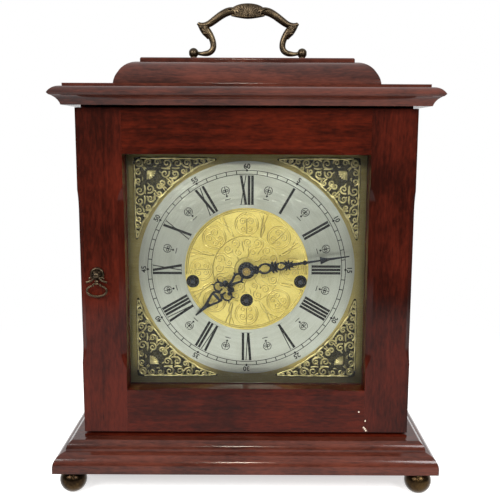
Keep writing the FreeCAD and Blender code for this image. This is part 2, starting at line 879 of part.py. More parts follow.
def make_glazing():
    reach_x = f"({opening_half}+rebate_width-glass_clearance)"
    low_z = f"({opening_low}-rebate_width+glass_clearance)"
    high_z = f"({opening_high}+rebate_width-glass_clearance)"
    front = f"({door_front}+reveal_depth)"
    back = f"({front}+glass_thick)"
    node(span((f"-{reach_x}", front, low_z), (reach_x, back, high_z)), "door_glass")
    bead_back = f"({back}+bead_thick)"
    outer_x = f"({opening_half}+rebate_width)"
    outer_low, outer_high = f"({opening_low}-rebate_width)", f"({opening_high}+rebate_width)"
    beads = [
        span((f"-{outer_x}", back, outer_low), (outer_x, bead_back, opening_low)),
        span((f"-{outer_x}", back, opening_high), (outer_x, bead_back, outer_high)),
        span((f"-{outer_x}", back, opening_low), (f"-{opening_half}", bead_back, opening_high)),
        span((opening_half, back, opening_low), (outer_x, bead_back, opening_high)),
    ]
    node(group(*beads), "glazing_beads")


# ---------------------------------------------------------------------------- bent wire

def bent_wire(points, bend):
    """A path through x, z points at y = 0, with its corners rounded by tangent arcs."""
    places = [Vector(x, 0, z) for x, z in points]
    edges = []
    start = places[0]
    for index in range(1, len(places) - 1):
        corner = places[index]
        back = (places[index - 1] - corner).normalize()
        onward = (places[index + 1] - corner).normalize()
        half_turn = back.getAngle(onward) / 2
        runs = ((places[index - 1] - corner).Length, (places[index + 1] - corner).Length)
        trim = min(bend / math.tan(half_turn), 0.45 * min(runs))
        radius = trim * math.tan(half_turn)
        middle = corner + (back + onward).normalize() * (radius / math.sin(half_turn) - radius)
        first, last = corner + back * trim, corner + onward * trim
        edges.append(Part.LineSegment(start, first).toShape())
        edges.append(Part.Arc(first, middle, last).toShape())
        start = last
    edges.append(Part.LineSegment(start, places[-1]).toShape())
    return Part.Wire(edges)


def round_wire(points, bend, radius):
    """A solid round wire along such a path."""
    path = bent_wire(points, bend)
    first = path.Edges[0]
    start = first.valueAt(first.FirstParameter)
    heading = first.tangentAt(first.FirstParameter)
    section = Part.Wire(Part.Circle(start, heading, radius).toShape())
    return path.makePipeShell([section], True, False)


def flipped(shape):
    return shape.mirror(Vector(), SIDEWAYS)


# ---------------------------------------------------------------------------- pull and catch

pull_x = "(-pull_offset)"
pull_axis_y = f"({door_front}-pull_reach)"


def make_pull():
    rose = rod("pull_rose_radius", "pull_rose_thick", pull_x, f"{door_front}-pull_rose_thick",
               "pull_height")
    stem = rod("pull_stem_radius", "pull_reach", pull_x, pull_axis_y, "pull_height")
    head = ball("pull_head_radius", pull_x, pull_axis_y, "pull_height")
    bore = rod("pull_wire_radius+running_fit", "4*pull_head_radius",
               f"{pull_x}-2*pull_head_radius", pull_axis_y, "pull_height", "X")
    trim = span((f"{pull_x}-pull_reach", door_front, "pull_height-pull_reach"),
                (f"{pull_x}+pull_reach", f"{door_front}+pull_reach", "pull_height+pull_reach"))
    node(cut(fuse(rose, stem, head), bore, trim), "pull_post")
    half, drop = number("pull_half_width"), number("pull_drop")
    wire = number("pull_wire_radius")
    arm = [
        (0.0, 0.0),
        (half * 0.66, 0.0),
        (half * 0.62, -drop * 0.2),
        (half * 0.92, -drop * 0.42),
        (half, -drop * 0.68),
        (half * 0.6, -drop),
        (0.0, -drop),
    ]
    loop = round_wire(arm, half * 0.5, wire)
    ring = loop.fuse(flipped(loop)).removeSplitter()
    place = Placement(Vector(number(pull_x), number(pull_axis_y), number("pull_height")), Rotation())
    ring = made(ring, "PullRing")
    ring.Placement = place
    node(ring, "pull_ring")


def make_catch():
    """A roller catch on the wall of the case, behind the free edge of the door."""
    wall = f"catch_radius*2-{side_inner}"
    low = (f"-{side_inner}", case_front, "catch_height-catch_half_length")
    seat = span(low, (wall, f"{case_front}+catch_depth", "catch_height+catch_half_length"))
    roller = rod("catch_radius", "2*catch_half_length", wall, f"{case_front}+catch_radius",
                 "catch_height-catch_half_length", "Z")
    node(fuse(seat, roller), "door_catch")


# ---------------------------------------------------------------------------- handle

handle_y = f"(({bell_front}+{bell_back})/2)"
handle_z = f"({cap_top}+handle_axis_rise)"


def make_handle():
    profile = [
        ("0", "0"),
        ("handle_flange_radius", "0"),
        ("handle_flange_radius", "0.8"),
        ("handle_stem_radius", "handle_stem_shoulder"),
        ("handle_stem_radius", "handle_axis_rise"),
        ("0", "handle_axis_rise"),
    ]
    stem = turned(profile, "handle_half_span", handle_y, cap_top)
    knob = ball("handle_ball_radius", "handle_half_span", handle_y, handle_z)
    bore = rod("handle_pin_radius+running_fit", "3*handle_ball_radius",
               "handle_half_span-1.5*handle_ball_radius", handle_y, handle_z, "X")
    post = cut(fuse(stem, knob), bore)
    node(group(post, mirrored(post, SIDEWAYS)), "handle_posts")
    reach, top = number("handle_half_span"), number("handle_height")
    leg, arm = number("handle_leg_radius"), number("handle_arm_radius")
    rib, rib_reach = number("shell_rib_radius"), number("shell_rib_reach")
    pivot = Part.makeCylinder(number("handle_pin_radius"), reach * 0.3,
                              Vector(reach * 0.78, 0, 0), SIDEWAYS)
    foot = [(reach * 0.87, 0.0), (reach * 0.63, 0.0), (reach * 0.625, top * 0.16),
            (reach * 0.69, top * 0.34), (reach * 0.79, top * 0.47), (reach * 0.9, top * 0.545)]
    rise = [(reach * 0.77, top * 0.45), (reach * 0.64, top * 0.6), (reach * 0.48, top * 0.74),
            (reach * 0.2, top * 0.83)]
    half = [pivot, round_wire(foot, number("handle_foot_bend"), leg),
            round_wire(rise, number("handle_arm_bend"), arm)]
    ends = ((foot[-1], leg * 1.15), (foot[0], leg), (rise[0], arm), (rise[-1], arm))
    for (x, z), radius in ends:
        half.append(Part.makeSphere(radius, Vector(x, 0, z)))
    root = Vector(0, 0, top - rib_reach - rib)
    pieces = half + [flipped(piece) for piece in half]
    for turn in (-72, -48, -24, 0, 24, 48, 72):
        angle = math.radians(turn)
        heading = Vector(math.sin(angle), 0, math.cos(angle))
        pieces.append(Part.makeCone(rib * 0.55, rib, rib_reach, root, heading))
        pieces.append(Part.makeSphere(rib, root + heading * rib_reach))
    pieces.append(Part.makeSphere(arm * 1.1, root))
    bail = made(pieces[0].fuse(pieces[1:]), "Bail")
    bail.Placement = Placement(Vector(0, number(handle_y), number(handle_z)), Rotation())
    node(bail, "handle_bail")


# ---------------------------------------------------------------------------- dial

def winding_spots():
    """The three winding arbors, as x and z from the hand centre."""
    return (("-winding_offset", "-winding_drop"), ("0", "-time_winding_drop"),
            ("winding_offset", "-winding_drop"))


def make_dial():
    holes = [(x, z, "winding_hole_radius") for x, z in winding_spots()]
    holes.append(("0", "0", "dial_centre_hole_radius"))
    square = rectangle("-dial_half", "-dial_half", "dial_half", "dial_half")
    node(plate([square], holes, "dial_thick", dial_front, "0", hand_z), "dial_plate")
    ring = [("0", "0", "ring_radius"), ("0", "0", "ring_inner_radius")]
    node(plate([], ring, "ring_thick", f"{dial_front}-ring_thick", "0", hand_z), "chapter_ring")
    disc = [("0", "0", "ring_inner_radius-0.1"), *holes]
    node(plate([], disc, "centre_thick", f"{dial_front}-centre_thick", "0", hand_z), "dial_centre")


def make_spandrels():
    inner = "(ring_radius+spandrel_gap)"
    foot = f"sqrt({inner}^2-spandrel_start^2)"
    corner = "spandrel_half"
    outline = [
        ("spandrel_start", corner),
        ("spandrel_start", foot),
        (foot, "spandrel_start", f"-{inner}"),
        (corner, "spandrel_start"),
        (corner, corner),
    ]
    piercings = [(0.90, 0.90, 4.0), (0.78, 0.78, 3.4), (0.91, 0.77, 2.8), (0.77, 0.91, 2.8),
                 (0.925, 0.64, 2.8), (0.64, 0.925, 2.8), (0.945, 0.49, 1.9), (0.49, 0.945, 1.9)]
    circles = [(f"{corner}*{x}", f"{corner}*{z}", str(radius)) for x, z, radius in piercings]
    front = f"({dial_front}-spandrel_thick)"
    corners = []
    for turn in range(4):
        casting = plate([outline], circles, "spandrel_thick", front, "0", hand_z)
        casting.Placement = Placement(casting.Placement.Base, Rotation(BACKWARD, 90 * turn))
        corners.append(casting)
    node(group(*corners), "spandrels")


def make_dial_frame():
    low = rectangle(f"-{side_inner}", base_top, side_inner, case_top)
    window = "dial_frame_window"
    hole = rectangle(f"-{window}", f"{hand_z}-{window}", window, f"{hand_z}+{window}")
    node(plate([low, hole], [], "dial_frame_thick", dial_back), "dial_frame")
    seat = span((f"-{side_inner}", frame_back, f"{seat_top}-seat_thick"),
                (side_inner, f"{frame_back}+seat_depth", seat_top))
    node(seat, "seat_board")


def bar(low, high, low_width, high_width):
    """A flat tapering bar along Z, as a face."""
    points = [Vector(-low_width / 2, 0, low), Vector(low_width / 2, 0, low),
              Vector(high_width / 2, 0, high), Vector(-high_width / 2, 0, high)]
    return Part.Face(Part.makePolygon(points + points[:1]))


def disc(x, z, radius):
    return Part.Face(Part.Wire(Part.Circle(Vector(x, 0, z), BACKWARD, radius).toShape()))


def hand_solid(faces, openings, thick):
    """A pierced hand sawn from sheet, pointing up, with its front face at y = 0."""
    depth = Vector(0, thick, 0)
    blanks = [face.extrude(depth) for face in faces]
    holes = [face.extrude(depth) for face in openings]
    return blanks[0].fuse(blanks[1:]).cut(holes).removeSplitter()


def make_hour_hand():
    length, hub = number("hour_hand_length"), number("hour_hub_radius")
    faces = [
        disc(0, 0, hub),
        bar(hub * 0.8, length * 0.24, 3.4, 2.4),
        disc(0, length * 0.32, 5.2),
        bar(length * 0.36, length * 0.6, 2.6, 2.2),
        disc(4.2, length * 0.47, 3.3),
        disc(-4.2, length * 0.47, 3.3),
        disc(2.3, length * 0.63, 3.9),
        disc(-2.3, length * 0.63, 3.9),
        bar(length * 0.6, length, 5.6, 0.5),
    ]
    openings = [
        disc(0, length * 0.32, 3.1),
        disc(4.2, length * 0.47, 1.7),
        disc(-4.2, length * 0.47, 1.7),
        disc(2.6, length * 0.63, 1.9),
        disc(-2.6, length * 0.63, 1.9),
        disc(0, 0, number("hour_pipe_radius+0.02")),
    ]
    place_hand(hand_solid(faces, openings, number("hand_thick")), hour_hand_y, "hour_hand_turn",
               "hour_hand")


def make_minute_hand():
    length, hub = number("minute_hand_length"), number("minute_hub_radius")
    faces = [
        disc(0, 0, hub),
        bar(hub * 0.8, length * 0.19, 3.0, 2.0),
        disc(0, length * 0.22, 4.4),
        bar(length * 0.24, length * 0.34, 2.2, 2.0),
        disc(0, length * 0.34, 3.6),
        bar(length * 0.36, length * 0.8, 2.6, 1.6),
        bar(length * 0.41, length * 0.43, 9.0, 9.0),
        bar(length * 0.76, length * 0.8, 1.6, 5.4),
        bar(length * 0.8, length, 5.4, 0.5),
    ]
    openings = [
        disc(0, length * 0.22, 2.5),
        disc(0, length * 0.34, 1.9),
        disc(0, 0, number("centre_arbor_radius+0.02")),
    ]
    place_hand(hand_solid(faces, openings, number("hand_thick")), minute_hand_y,
               "minute_hand_turn", "minute_hand")


hour_hand_y = f"({dial_front}-ring_thick-hour_hand_rise)"
minute_hand_y = f"({hour_hand_y}-hand_step)"
nut_front = f"({minute_hand_y}-nut_height)"
arbor_front = f"({nut_front}-arbor_end)"


def place_hand(solid, y, turn, label):
    hand = made(solid, "Hand")
    place = Vector(0, number(y), number(hand_z))
    hand.Placement = Placement(place, Rotation(BACKWARD, number(turn)))
    node(hand, label)


def make_hand_nut():
    body = rod("hand_nut_radius", f"{minute_hand_y}-{nut_front}", "0", nut_front, hand_z)
    bore = rod("centre_arbor_radius+0.02", f"{minute_hand_y}-{nut_front}", "0", nut_front, hand_z)
    node(cut(body, bore), "hand_nut")


# ---------------------------------------------------------------------------- movement layout

def mesh(module, wheel, pinion):
    """The distance between the arbors of a wheel and its pinion."""
    return f"({module}*({wheel}+{pinion})/2)"


great_reach = mesh("great_module", "great_teeth", "great_pinion")
second_reach = mesh("second_module", "second_teeth", "second_pinion")
third_reach = mesh("centre_module", "centre_teeth", "small_pinion")
fourth_reach = mesh("third_module", "third_teeth", "small_pinion")
escape_reach = mesh("fourth_module", "fourth_teeth", "small_pinion")
fly_reach = mesh("second_module", "second_teeth", "small_pinion")
motion_reach = mesh("cannon_module", "cannon_teeth", "minute_teeth")

second_drop = f"(({second_reach}^2-{great_reach}^2+time_winding_drop^2)/(2*time_winding_drop))"
second_side = f"sqrt({second_reach}^2-{second_drop}^2)"


def stepped(spot, reach, bearing):
    """A place one mesh away; the bearing is in degrees anticlockwise from +X, seen from the front."""
    x, z = spot
    return (f"({x}+{reach}*cos({bearing}))", f"({z}+{reach}*sin({bearing}))")


CENTRE = ("0", "0")
TIME_BARREL, STRIKE_BARREL, CHIME_BARREL = winding_spots()[1], winding_spots()[2], winding_spots()[0]
INTERMEDIATE = (second_side, f"(-{second_drop})")
THIRD = stepped(CENTRE, third_reach, "third_bearing")
FOURTH = stepped(THIRD, fourth_reach, "fourth_bearing")
ESCAPE = stepped(FOURTH, escape_reach, "escape_bearing")
STRIKE_SECOND = ("winding_offset", f"({great_reach}-winding_drop)")
CHIME_SECOND = ("-winding_offset", f"({great_reach}-winding_drop)")
STRIKE_FLY = stepped(STRIKE_SECOND, fly_reach, "fly_bearing")
CHIME_FLY = stepped(CHIME_SECOND, fly_reach, "180-fly_bearing")
MINUTE_STUD = stepped(CENTRE, motion_reach, "minute_bearing")
LEVER = (f"({ESCAPE[0]}+lever_distance)", ESCAPE[1])
BALANCE = (f"({LEVER[0]}+balance_distance)", ESCAPE[1])

WHEEL_SHAPE = ((-1.3, 1.0), (0.0, 1.0), (0.45, 0.78), (0.75, 0.42), (0.88, 0.12))
PINION_SHAPE = ((-1.5, 0.8), (0.0, 1.0), (0.42, 0.75), (0.6, 0.3))
WHEEL_FILL, PINION_FILL = 0.42, 0.34
PINION_LIMIT = 12


def spot_values(spot):
    return number(spot[0]), number(f"{hand_z}+{spot[1]}")


def tooth_outline(teeth, module, phase):
    """The outline of a wheel or pinion about y = 0, with a tooth at the phase angle."""
    small = teeth <= PINION_LIMIT
    shape, fill = (PINION_SHAPE, PINION_FILL) if small else (WHEEL_SHAPE, WHEEL_FILL)
    pitch_radius = teeth * module / 2
    half_tooth = fill * math.pi / teeth
    points = []
    for index in range(teeth):
        middle = phase + index * 2 * math.pi / teeth
        flank = [(pitch_radius + rise * module, width * half_tooth) for rise, width in shape]
        for radius, offset in flank:
            points.append((radius, middle - offset))
        for radius, offset in reversed(flank):
            points.append((radius, middle + offset))
    corners = [Vector(radius * math.cos(angle), 0, radius * math.sin(angle)) for radius, angle in points]
    return Part.Wire(Part.makePolygon(corners + corners[:1]))


def toothed(spot, teeth, module, front, thick, phase=0.0, crossed=False):
    """A cut wheel or pinion on an arbor; a crossed one is lightened by five windows."""
    count, size, depth = int(number(teeth)), number(module), number(thick)
    face = Part.Face(tooth_outline(count, size, phase))
    solid = face.extrude(Vector(0, depth, 0))
    if crossed:
        radius = count * size / 2
        windows = []
        for index in range(5):
            angle = index * 2 * math.pi / 5
            middle = Vector(math.cos(angle), 0, math.sin(angle)) * radius * 0.56
            windows.append(Part.makeCylinder(radius * 0.23, depth, middle, BACKWARD))
        solid = solid.cut(windows)
    x, z = spot_values(spot)
    item = made(solid, "Wheel")
    item.Placement = Placement(Vector(x, number(front), z), Rotation())
    return item


def meshing_phase(driver, driver_teeth, driven, driven_teeth, driver_phase=0.0):
    """The phase that puts a gap of the driven wheel opposite a tooth of its driver."""
    (x0, z0), (x1, z1) = spot_values(driver), spot_values(driven)
    bearing = math.atan2(z1 - z0, x1 - x0)
    pitch = 2 * math.pi / int(number(driver_teeth))
    part = ((bearing - driver_phase) / pitch) % 1.0
    return bearing + math.pi + (part + 0.5) * 2 * math.pi / int(number(driven_teeth))


def shaft(spot, radius, front, back):
    """A round bar on an arbor's line between two stations."""
    return rod(radius, f"({back})-({front})", spot[0], front, f"{hand_z}+{spot[1]}")


def pivoted(spot, radius):
    """An arbor between the plates with a pivot through each."""
    return [shaft(spot, radius, f"{train_front}+play", f"{train_back}-play"),
            shaft(spot, "pivot_radius", front_plate_y, back_plate_back)]


# ---------------------------------------------------------------------------- movement frame

def pillar_spots():
    side = "(plate_half_width-pillar_inset)"
    high, low = "(plate_rise-pillar_inset)", "(pillar_inset-plate_drop)"
    return [(f"-{side}", high), (side, high), (f"-{side}", low), (side, low)]


def pivot_holes():
    small = [INTERMEDIATE, THIRD, FOURTH, STRIKE_SECOND, CHIME_SECOND, STRIKE_FLY, CHIME_FLY]
    return [(x, z, "pivot_radius+running_fit") for x, z in small]


def make_movement_frame():
    square = rectangle("-plate_half_width", "-plate_drop", "plate_half_width", "plate_rise")
    barrels = [(x, z, "barrel_arbor_radius+running_fit") for x, z in winding_spots()]
    small = pivot_holes()
    front_holes = barrels + small + [
        (*CENTRE, "centre_arbor_radius+running_fit"),
        (*ESCAPE, "pivot_radius+running_fit"),
        (*MINUTE_STUD, "pivot_radius+running_fit"),
    ]
    node(plate([square], front_holes, "plate_thick", front_plate_y, "0", hand_z), "front_plate")
    back_holes = barrels + small + [
        (*CENTRE, "pivot_radius+running_fit"),
        (*ESCAPE, "arbor_radius+running_fit"),
        (*LEVER, "pivot_radius/2+running_fit"),
        (*BALANCE, "pivot_radius/2+running_fit"),
        ("hammer_offset", "hammer_rise", "arbor_radius+running_fit"),
    ]
    sheet_metal = plate([square], back_holes, "plate_thick", train_back, "0", hand_z)
    boss = plate([], [("0", "0", "hammer_boss_radius"), ("0", "0", "arbor_radius+running_fit")],
                 "hammer_boss_length", back_plate_back, "hammer_offset", f"{hand_z}+hammer_rise")
    node(fuse(sheet_metal, boss), "back_plate")
    pillars = [shaft(spot, "pillar_radius", train_front, train_back) for spot in pillar_spots()]
    node(group(*pillars), "plate_pillars")


# ---------------------------------------------------------------------------- trains

great_front = f"({train_front}+5)"
drum_front = f"({great_front}+great_wheel_thick)"
drum_back = f"({drum_front}+barrel_length)"
second_front = f"({drum_back}+3)"
second_back = f"({second_front}+train_wheel_thick)"
centre_front = f"({second_back}+2.5)"
third_front = f"({train_front}+22)"
fourth_front = f"({third_front}+5)"
winding_tip = f"({dial_front}-winding_front)"


def make_barrel(spot, label):
    wheel = toothed(spot, "great_teeth", "great_module", great_front, "great_wheel_thick")
    drum = shaft(spot, "barrel_radius", great_front, drum_back)
    arbor = shaft(spot, "barrel_arbor_radius", f"{front_plate_y}-1.5", back_plate_back)
    half = "winding_square/2"
    square = span((f"{spot[0]}-{half}", winding_tip, f"{hand_z}+{spot[1]}-{half}"),
                  (f"{spot[0]}+{half}", f"{front_plate_y}-1.5", f"{hand_z}+{spot[1]}+{half}"))
    node(fuse(wheel, drum, arbor, square), label)


def make_time_train():
    make_barrel(TIME_BARREL, "time_barrel")
    phase = meshing_phase(TIME_BARREL, "great_teeth", INTERMEDIATE, "great_pinion")
    leaves = toothed(INTERMEDIATE, "great_pinion", "great_module", f"{great_front}-1",
                     "great_wheel_thick+2", phase)
    wheel = toothed(INTERMEDIATE, "second_teeth", "second_module", second_front,
                    "train_wheel_thick", crossed=True)
    node(fuse(*pivoted(INTERMEDIATE, "arbor_radius"), leaves, wheel), "intermediate_wheel")

    phase = meshing_phase(INTERMEDIATE, "second_teeth", CENTRE, "second_pinion")
    leaves = toothed(CENTRE, "second_pinion", "second_module", f"{second_front}-1",
                     "train_wheel_thick+2", phase)
    wheel = toothed(CENTRE, "centre_teeth", "centre_module", centre_front, "train_wheel_thick",
                    crossed=True)
    arbor = shaft(CENTRE, "centre_arbor_radius", arbor_front, f"{train_back}-play")
    pivot = shaft(CENTRE, "pivot_radius", f"{train_back}-play", back_plate_back)
    node(fuse(arbor, pivot, leaves, wheel), "centre_wheel")

    phase = meshing_phase(CENTRE, "centre_teeth", THIRD, "small_pinion")
    leaves = toothed(THIRD, "small_pinion", "centre_module", f"{centre_front}-0.5",
                     "train_wheel_thick+1", phase)
    wheel = toothed(THIRD, "third_teeth", "third_module", third_front, "train_wheel_thick",
                    crossed=True)
    node(fuse(*pivoted(THIRD, "arbor_radius"), leaves, wheel), "third_wheel")

    phase = meshing_phase(THIRD, "third_teeth", FOURTH, "small_pinion")
    leaves = toothed(FOURTH, "small_pinion", "third_module", f"{third_front}-1",
                     "train_wheel_thick+2", phase)
    wheel = toothed(FOURTH, "fourth_teeth", "fourth_module", fourth_front, "train_wheel_thick",
                    crossed=True)
    node(fuse(*pivoted(FOURTH, "arbor_radius*0.9"), leaves, wheel), "fourth_wheel")


def make_side_train(barrel, second, fly, prefix):
    """The striking or the quarter train: great wheel, second wheel and fly."""
    make_barrel(barrel, f"{prefix}_barrel")
    phase = meshing_phase(barrel, "great_teeth", second, "great_pinion")
    leaves = toothed(second, "great_pinion", "great_module", f"{great_front}-1",
                     "great_wheel_thick+2", phase)
    wheel = toothed(second, "second_teeth", "second_module", second_front, "train_wheel_thick",
                    crossed=True)
    node(fuse(*pivoted(second, "arbor_radius"), leaves, wheel), f"{prefix}_second_wheel")
    phase = meshing_phase(second, "second_teeth", fly, "small_pinion")
    leaves = toothed(fly, "small_pinion", "second_module", f"{second_front}-1",
                     "train_wheel_thick+2", phase)
    half = "fly_half_width"
    vane = span((f"{fly[0]}-{half}", f"{great_front}+6", f"{hand_z}+{fly[1]}-0.5"),
                (f"{fly[0]}+{half}", f"{great_front}+6+fly_length", f"{hand_z}+{fly[1]}+0.5"))
    node(fuse(*pivoted(fly, "arbor_radius"), leaves, vane), f"{prefix}_fly")


def make_motion_work():
    front = f"({front_plate_y}-3)"
    leaves = toothed(CENTRE, "cannon_teeth", "cannon_module", front, "2.4")
    pipe_front = f"({minute_hand_y}+hand_thick)"
    pipe = shaft(CENTRE, "cannon_pipe_radius", pipe_front, f"{front}+1")
    bore = shaft(CENTRE, "centre_arbor_radius+0.02", pipe_front, f"{front}+3")
    node(cut(fuse(leaves, pipe), bore), "cannon_pinion")

    phase = meshing_phase(CENTRE, "cannon_teeth", MINUTE_STUD, "minute_teeth")
    wheel = toothed(MINUTE_STUD, "minute_teeth", "cannon_module", f"{front}+0.4", "1.5", phase)
    leaves = toothed(MINUTE_STUD, "minute_pinion", "hour_module", f"{front}-3.4", "4")
    stud = shaft(MINUTE_STUD, "arbor_radius", f"{front}-3.4", f"{front_plate_y}-play")
    pivot = shaft(MINUTE_STUD, "pivot_radius", f"{front_plate_y}-play", train_front)
    node(fuse(wheel, leaves, stud, pivot), "minute_wheel")

    phase = meshing_phase(MINUTE_STUD, "minute_pinion", CENTRE, "hour_teeth")
    wheel = toothed(CENTRE, "hour_teeth", "hour_module", f"{front}-2.8", "1.5", phase)
    pipe = shaft(CENTRE, "hour_pipe_radius", hour_hand_y, f"{front}-0.6")
    bore = shaft(CENTRE, "cannon_pipe_radius+running_fit", hour_hand_y, f"{front}+1")
    node(cut(fuse(wheel, pipe), bore), "hour_wheel")


# ---------------------------------------------------------------------------- escapement

escape_front = f"({back_plate_back}+3)"
lever_front = f"({escape_front}+2)"
balance_front = f"({lever_front}+3)"
platform_front = f"({back_plate_back}+platform_reach-platform_thick)"
platform_back = f"({back_plate_back}+platform_reach)"


def escape_outline():
    """Fifteen forward-leaning teeth."""
    count, outer = int(number("escape_tooth_count")), number("escape_radius")
    inner = outer * 0.72
    pitch = 2 * math.pi / count
    corners = []
    for index in range(count):
        start = index * pitch
        for radius, part in ((inner, 0.0), (outer, 0.42), (outer, 0.52), (inner, 0.6)):
            angle = start + part * pitch
            corners.append(Vector(radius * math.cos(angle), 0, radius * math.sin(angle)))
    return Part.makePolygon(corners + corners[:1])


def make_escape_wheel():
    phase = meshing_phase(FOURTH, "fourth_teeth", ESCAPE, "small_pinion")
    leaves = toothed(ESCAPE, "small_pinion", "fourth_module", f"{fourth_front}-1",
                     "train_wheel_thick+2", phase)
    x, z = spot_values(ESCAPE)
    face = Part.Face(Part.Wire(escape_outline()))
    wheel = made(face.extrude(Vector(0, number("escape_thick"), 0)), "Escape")
    wheel.Placement = Placement(Vector(x, number(escape_front), z), Rotation())
    front_pivot = shaft(ESCAPE, "pivot_radius", front_plate_y, f"{train_front}+play")
    thin = shaft(ESCAPE, "pivot_radius*0.9", f"{train_front}+play", f"{train_back}-1")
    arbor = shaft(ESCAPE, "arbor_radius", f"{train_back}-1", f"{platform_front}-play")
    pivot = shaft(ESCAPE, "pivot_radius/2", f"{platform_front}-play", platform_back)
    node(fuse(front_pivot, thin, arbor, pivot, leaves, wheel), "escape_wheel")


def make_lever():
    x, z = spot_values(LEVER)
    y, thick = number(escape_front), number("escape_thick")
    arm = number("lever_distance")
    fork = number("balance_distance") - 3.4
    pieces = [
        Part.makeBox(1.4, thick, arm * 1.34, Vector(x - 0.7, y, z - arm * 0.67)),
        Part.makeBox(fork, thick, 1.2, Vector(x, y, z - 0.6)),
        Part.makeBox(1.0, thick, 3.6, Vector(x + fork - 1.0, y, z - 1.8)),
    ]
    for side in (-1, 1):
        low = z + side * arm * 0.62 - 0.5
        pieces.append(Part.makeBox(arm * 0.38, thick, 1.0, Vector(x - arm * 0.38, y, low)))
    arms = made(pieces[0].fuse(pieces[1:]), "Lever")
    arbor = shaft(LEVER, "arbor_radius*0.7", f"{back_plate_back}+play", f"{platform_front}-play")
    pivot = shaft(LEVER, "pivot_radius/2", train_back, platform_back)
    node(fuse(arms, arbor, pivot), "pallet_lever")


def make_balance():
    rim = plate([], [("0", "0", "balance_radius"), ("0", "0", "balance_radius-balance_rim")],
                "1.4", balance_front, BALANCE[0], f"{hand_z}+{BALANCE[1]}")
    spoke = span((f"{BALANCE[0]}-balance_radius+0.4", balance_front, f"{hand_z}+{BALANCE[1]}-0.7"),
                 (f"{BALANCE[0]}+balance_radius-0.4", f"{balance_front}+1", f"{hand_z}+{BALANCE[1]}+0.7"))
    staff = shaft(BALANCE, "arbor_radius*0.7", f"{back_plate_back}+play", f"{platform_front}-play")
    pivot = shaft(BALANCE, "pivot_radius/2", train_back, platform_back)
    roller = shaft(BALANCE, "2", f"{escape_front}+1.6", f"{escape_front}+2.4")
    node(fuse(rim, spoke, staff, pivot, roller), "balance_wheel")


def make_platform():
    left = f"({ESCAPE[0]}-escape_radius-platform_margin)"
    right = f"({BALANCE[0]}+balance_radius+platform_margin)"
    half = "(balance_radius+platform_margin)"
    outline = rectangle(left, f"{ESCAPE[1]}-{half}", right, f"{ESCAPE[1]}+{half}")
    holes = [(x, z, "pivot_radius/2+running_fit") for x, z in (ESCAPE, LEVER, BALANCE)]
    bridge = plate([outline], holes, "platform_thick", platform_front, "0", hand_z)
    legs = []
    inset = "platform_margin/2"
    for x in (f"({left}+{inset})", f"({right}-{inset})"):
        for z in (f"({ESCAPE[1]}-{half}+{inset})", f"({ESCAPE[1]}+{half}-{inset})"):
            legs.append(shaft((x, z), "platform_margin*0.45", back_plate_back, platform_front))
    node(fuse(bridge, *legs), "platform")


# ---------------------------------------------------------------------------- hammers and rods

hammer_z = f"({hand_z}+hammer_rise)"
head_z = f"({hammer_z}-hammer_head_length)"
rod_z = f"({head_z}-rod_gap-rod_radius)"
hammer_back = f"({back_plate_back}+hammer_first+(hammer_count-1)*hammer_pitch+3)"


def make_hammers():
    pieces = [
        rod("arbor_radius", f"{hammer_back}-{train_back}", "hammer_offset", train_back, hammer_z),
    ]
    for index in range(int(number("hammer_count"))):
        y = f"({back_plate_back}+hammer_first+{index}*hammer_pitch)"
        hub = rod("arbor_radius*2", "3", "hammer_offset", f"{y}-1.5", hammer_z)
        arm = rod("0.7", "hammer_arm", "hammer_offset-hammer_arm", y, hammer_z, "X")
        head = rod("hammer_head_radius", "hammer_head_length", "hammer_offset-hammer_arm", y,
                   head_z, "Z")
        pieces += [hub, arm, head]
    node(fuse(*pieces), "chime_hammers")


def make_rods():
    count = int(number("hammer_count"))
    first = f"({back_plate_back}+hammer_first)"
    block_low = (f"-{side_inner}", f"{first}-5", f"{rod_z}-rod_block_height/2")
    block_high = (f"rod_block_length-{side_inner}", f"{first}+(hammer_count-1)*hammer_pitch+5",
                  f"{rod_z}+rod_block_height/2")
    pieces = [span(block_low, block_high)]
    for index in range(count):
        y = f"({first}+{index}*hammer_pitch)"
        length = f"rod_length-{index}*rod_step"
        pieces.append(rod("rod_radius", length, f"rod_block_length-{side_inner}", y, rod_z, "X"))
    node(group(*pieces), "chime_rods")


# ---------------------------------------------------------------------------- the clock

make_feet()
make_plinth()
make_sides()
make_cornice()
make_bell()
make_back()
make_back_hinges()
make_turn_button()
make_front_hinges()
make_door()
make_glazing()
make_pull()
make_catch()
make_handle()
make_dial()
make_spandrels()
make_dial_frame()
make_movement_frame()
make_time_train()
make_side_train(STRIKE_BARREL, STRIKE_SECOND, STRIKE_FLY, "strike")
make_side_train(CHIME_BARREL, CHIME_SECOND, CHIME_FLY, "chime")
make_motion_work()
make_escape_wheel()
make_lever()
make_balance()
make_platform()
make_hour_hand()
make_minute_hand()
make_hand_nut()
make_hammers()
make_rods()
doc.recompute()

for item in doc.Objects:
    if "Invalid" in item.State or "Error" in item.State:
        raise RuntimeError(f"{item.Label} was not made: {item.State}")
for item in nodes:
    if item.Shape.isNull() or not item.Shape.isValid():
        raise RuntimeError(f"{item.Label} has no valid shape")

os.makedirs("parts", exist_ok=True)
for item in nodes:
    item.Shape.exportStep(f"parts/{item.Label}.step")
whole = Part.makeCompound([item.Shape for item in nodes]).BoundBox
print(f"{len(nodes)} sub-parts, {whole.XLength:.1f} x {whole.YLength:.1f} x {whole.ZLength:.1f} mm")
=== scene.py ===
# %% [markdown]
# # A mahogany bracket clock
#
# The case, the movement and the dial arrive as solids with real joints. This lesson gives them
# their finish: polished mahogany, silvered and gilt brass, blued hands, and the castings, engraving
# and numerals that are too fine for the solids. Everything is in metres, X to the right, Y away
# from the viewer and Z up, with the clock standing on the floor at Z = 0.

# %% The clock's solids
import math

import bmesh
import bpy
from mathutils import Matrix, Vector


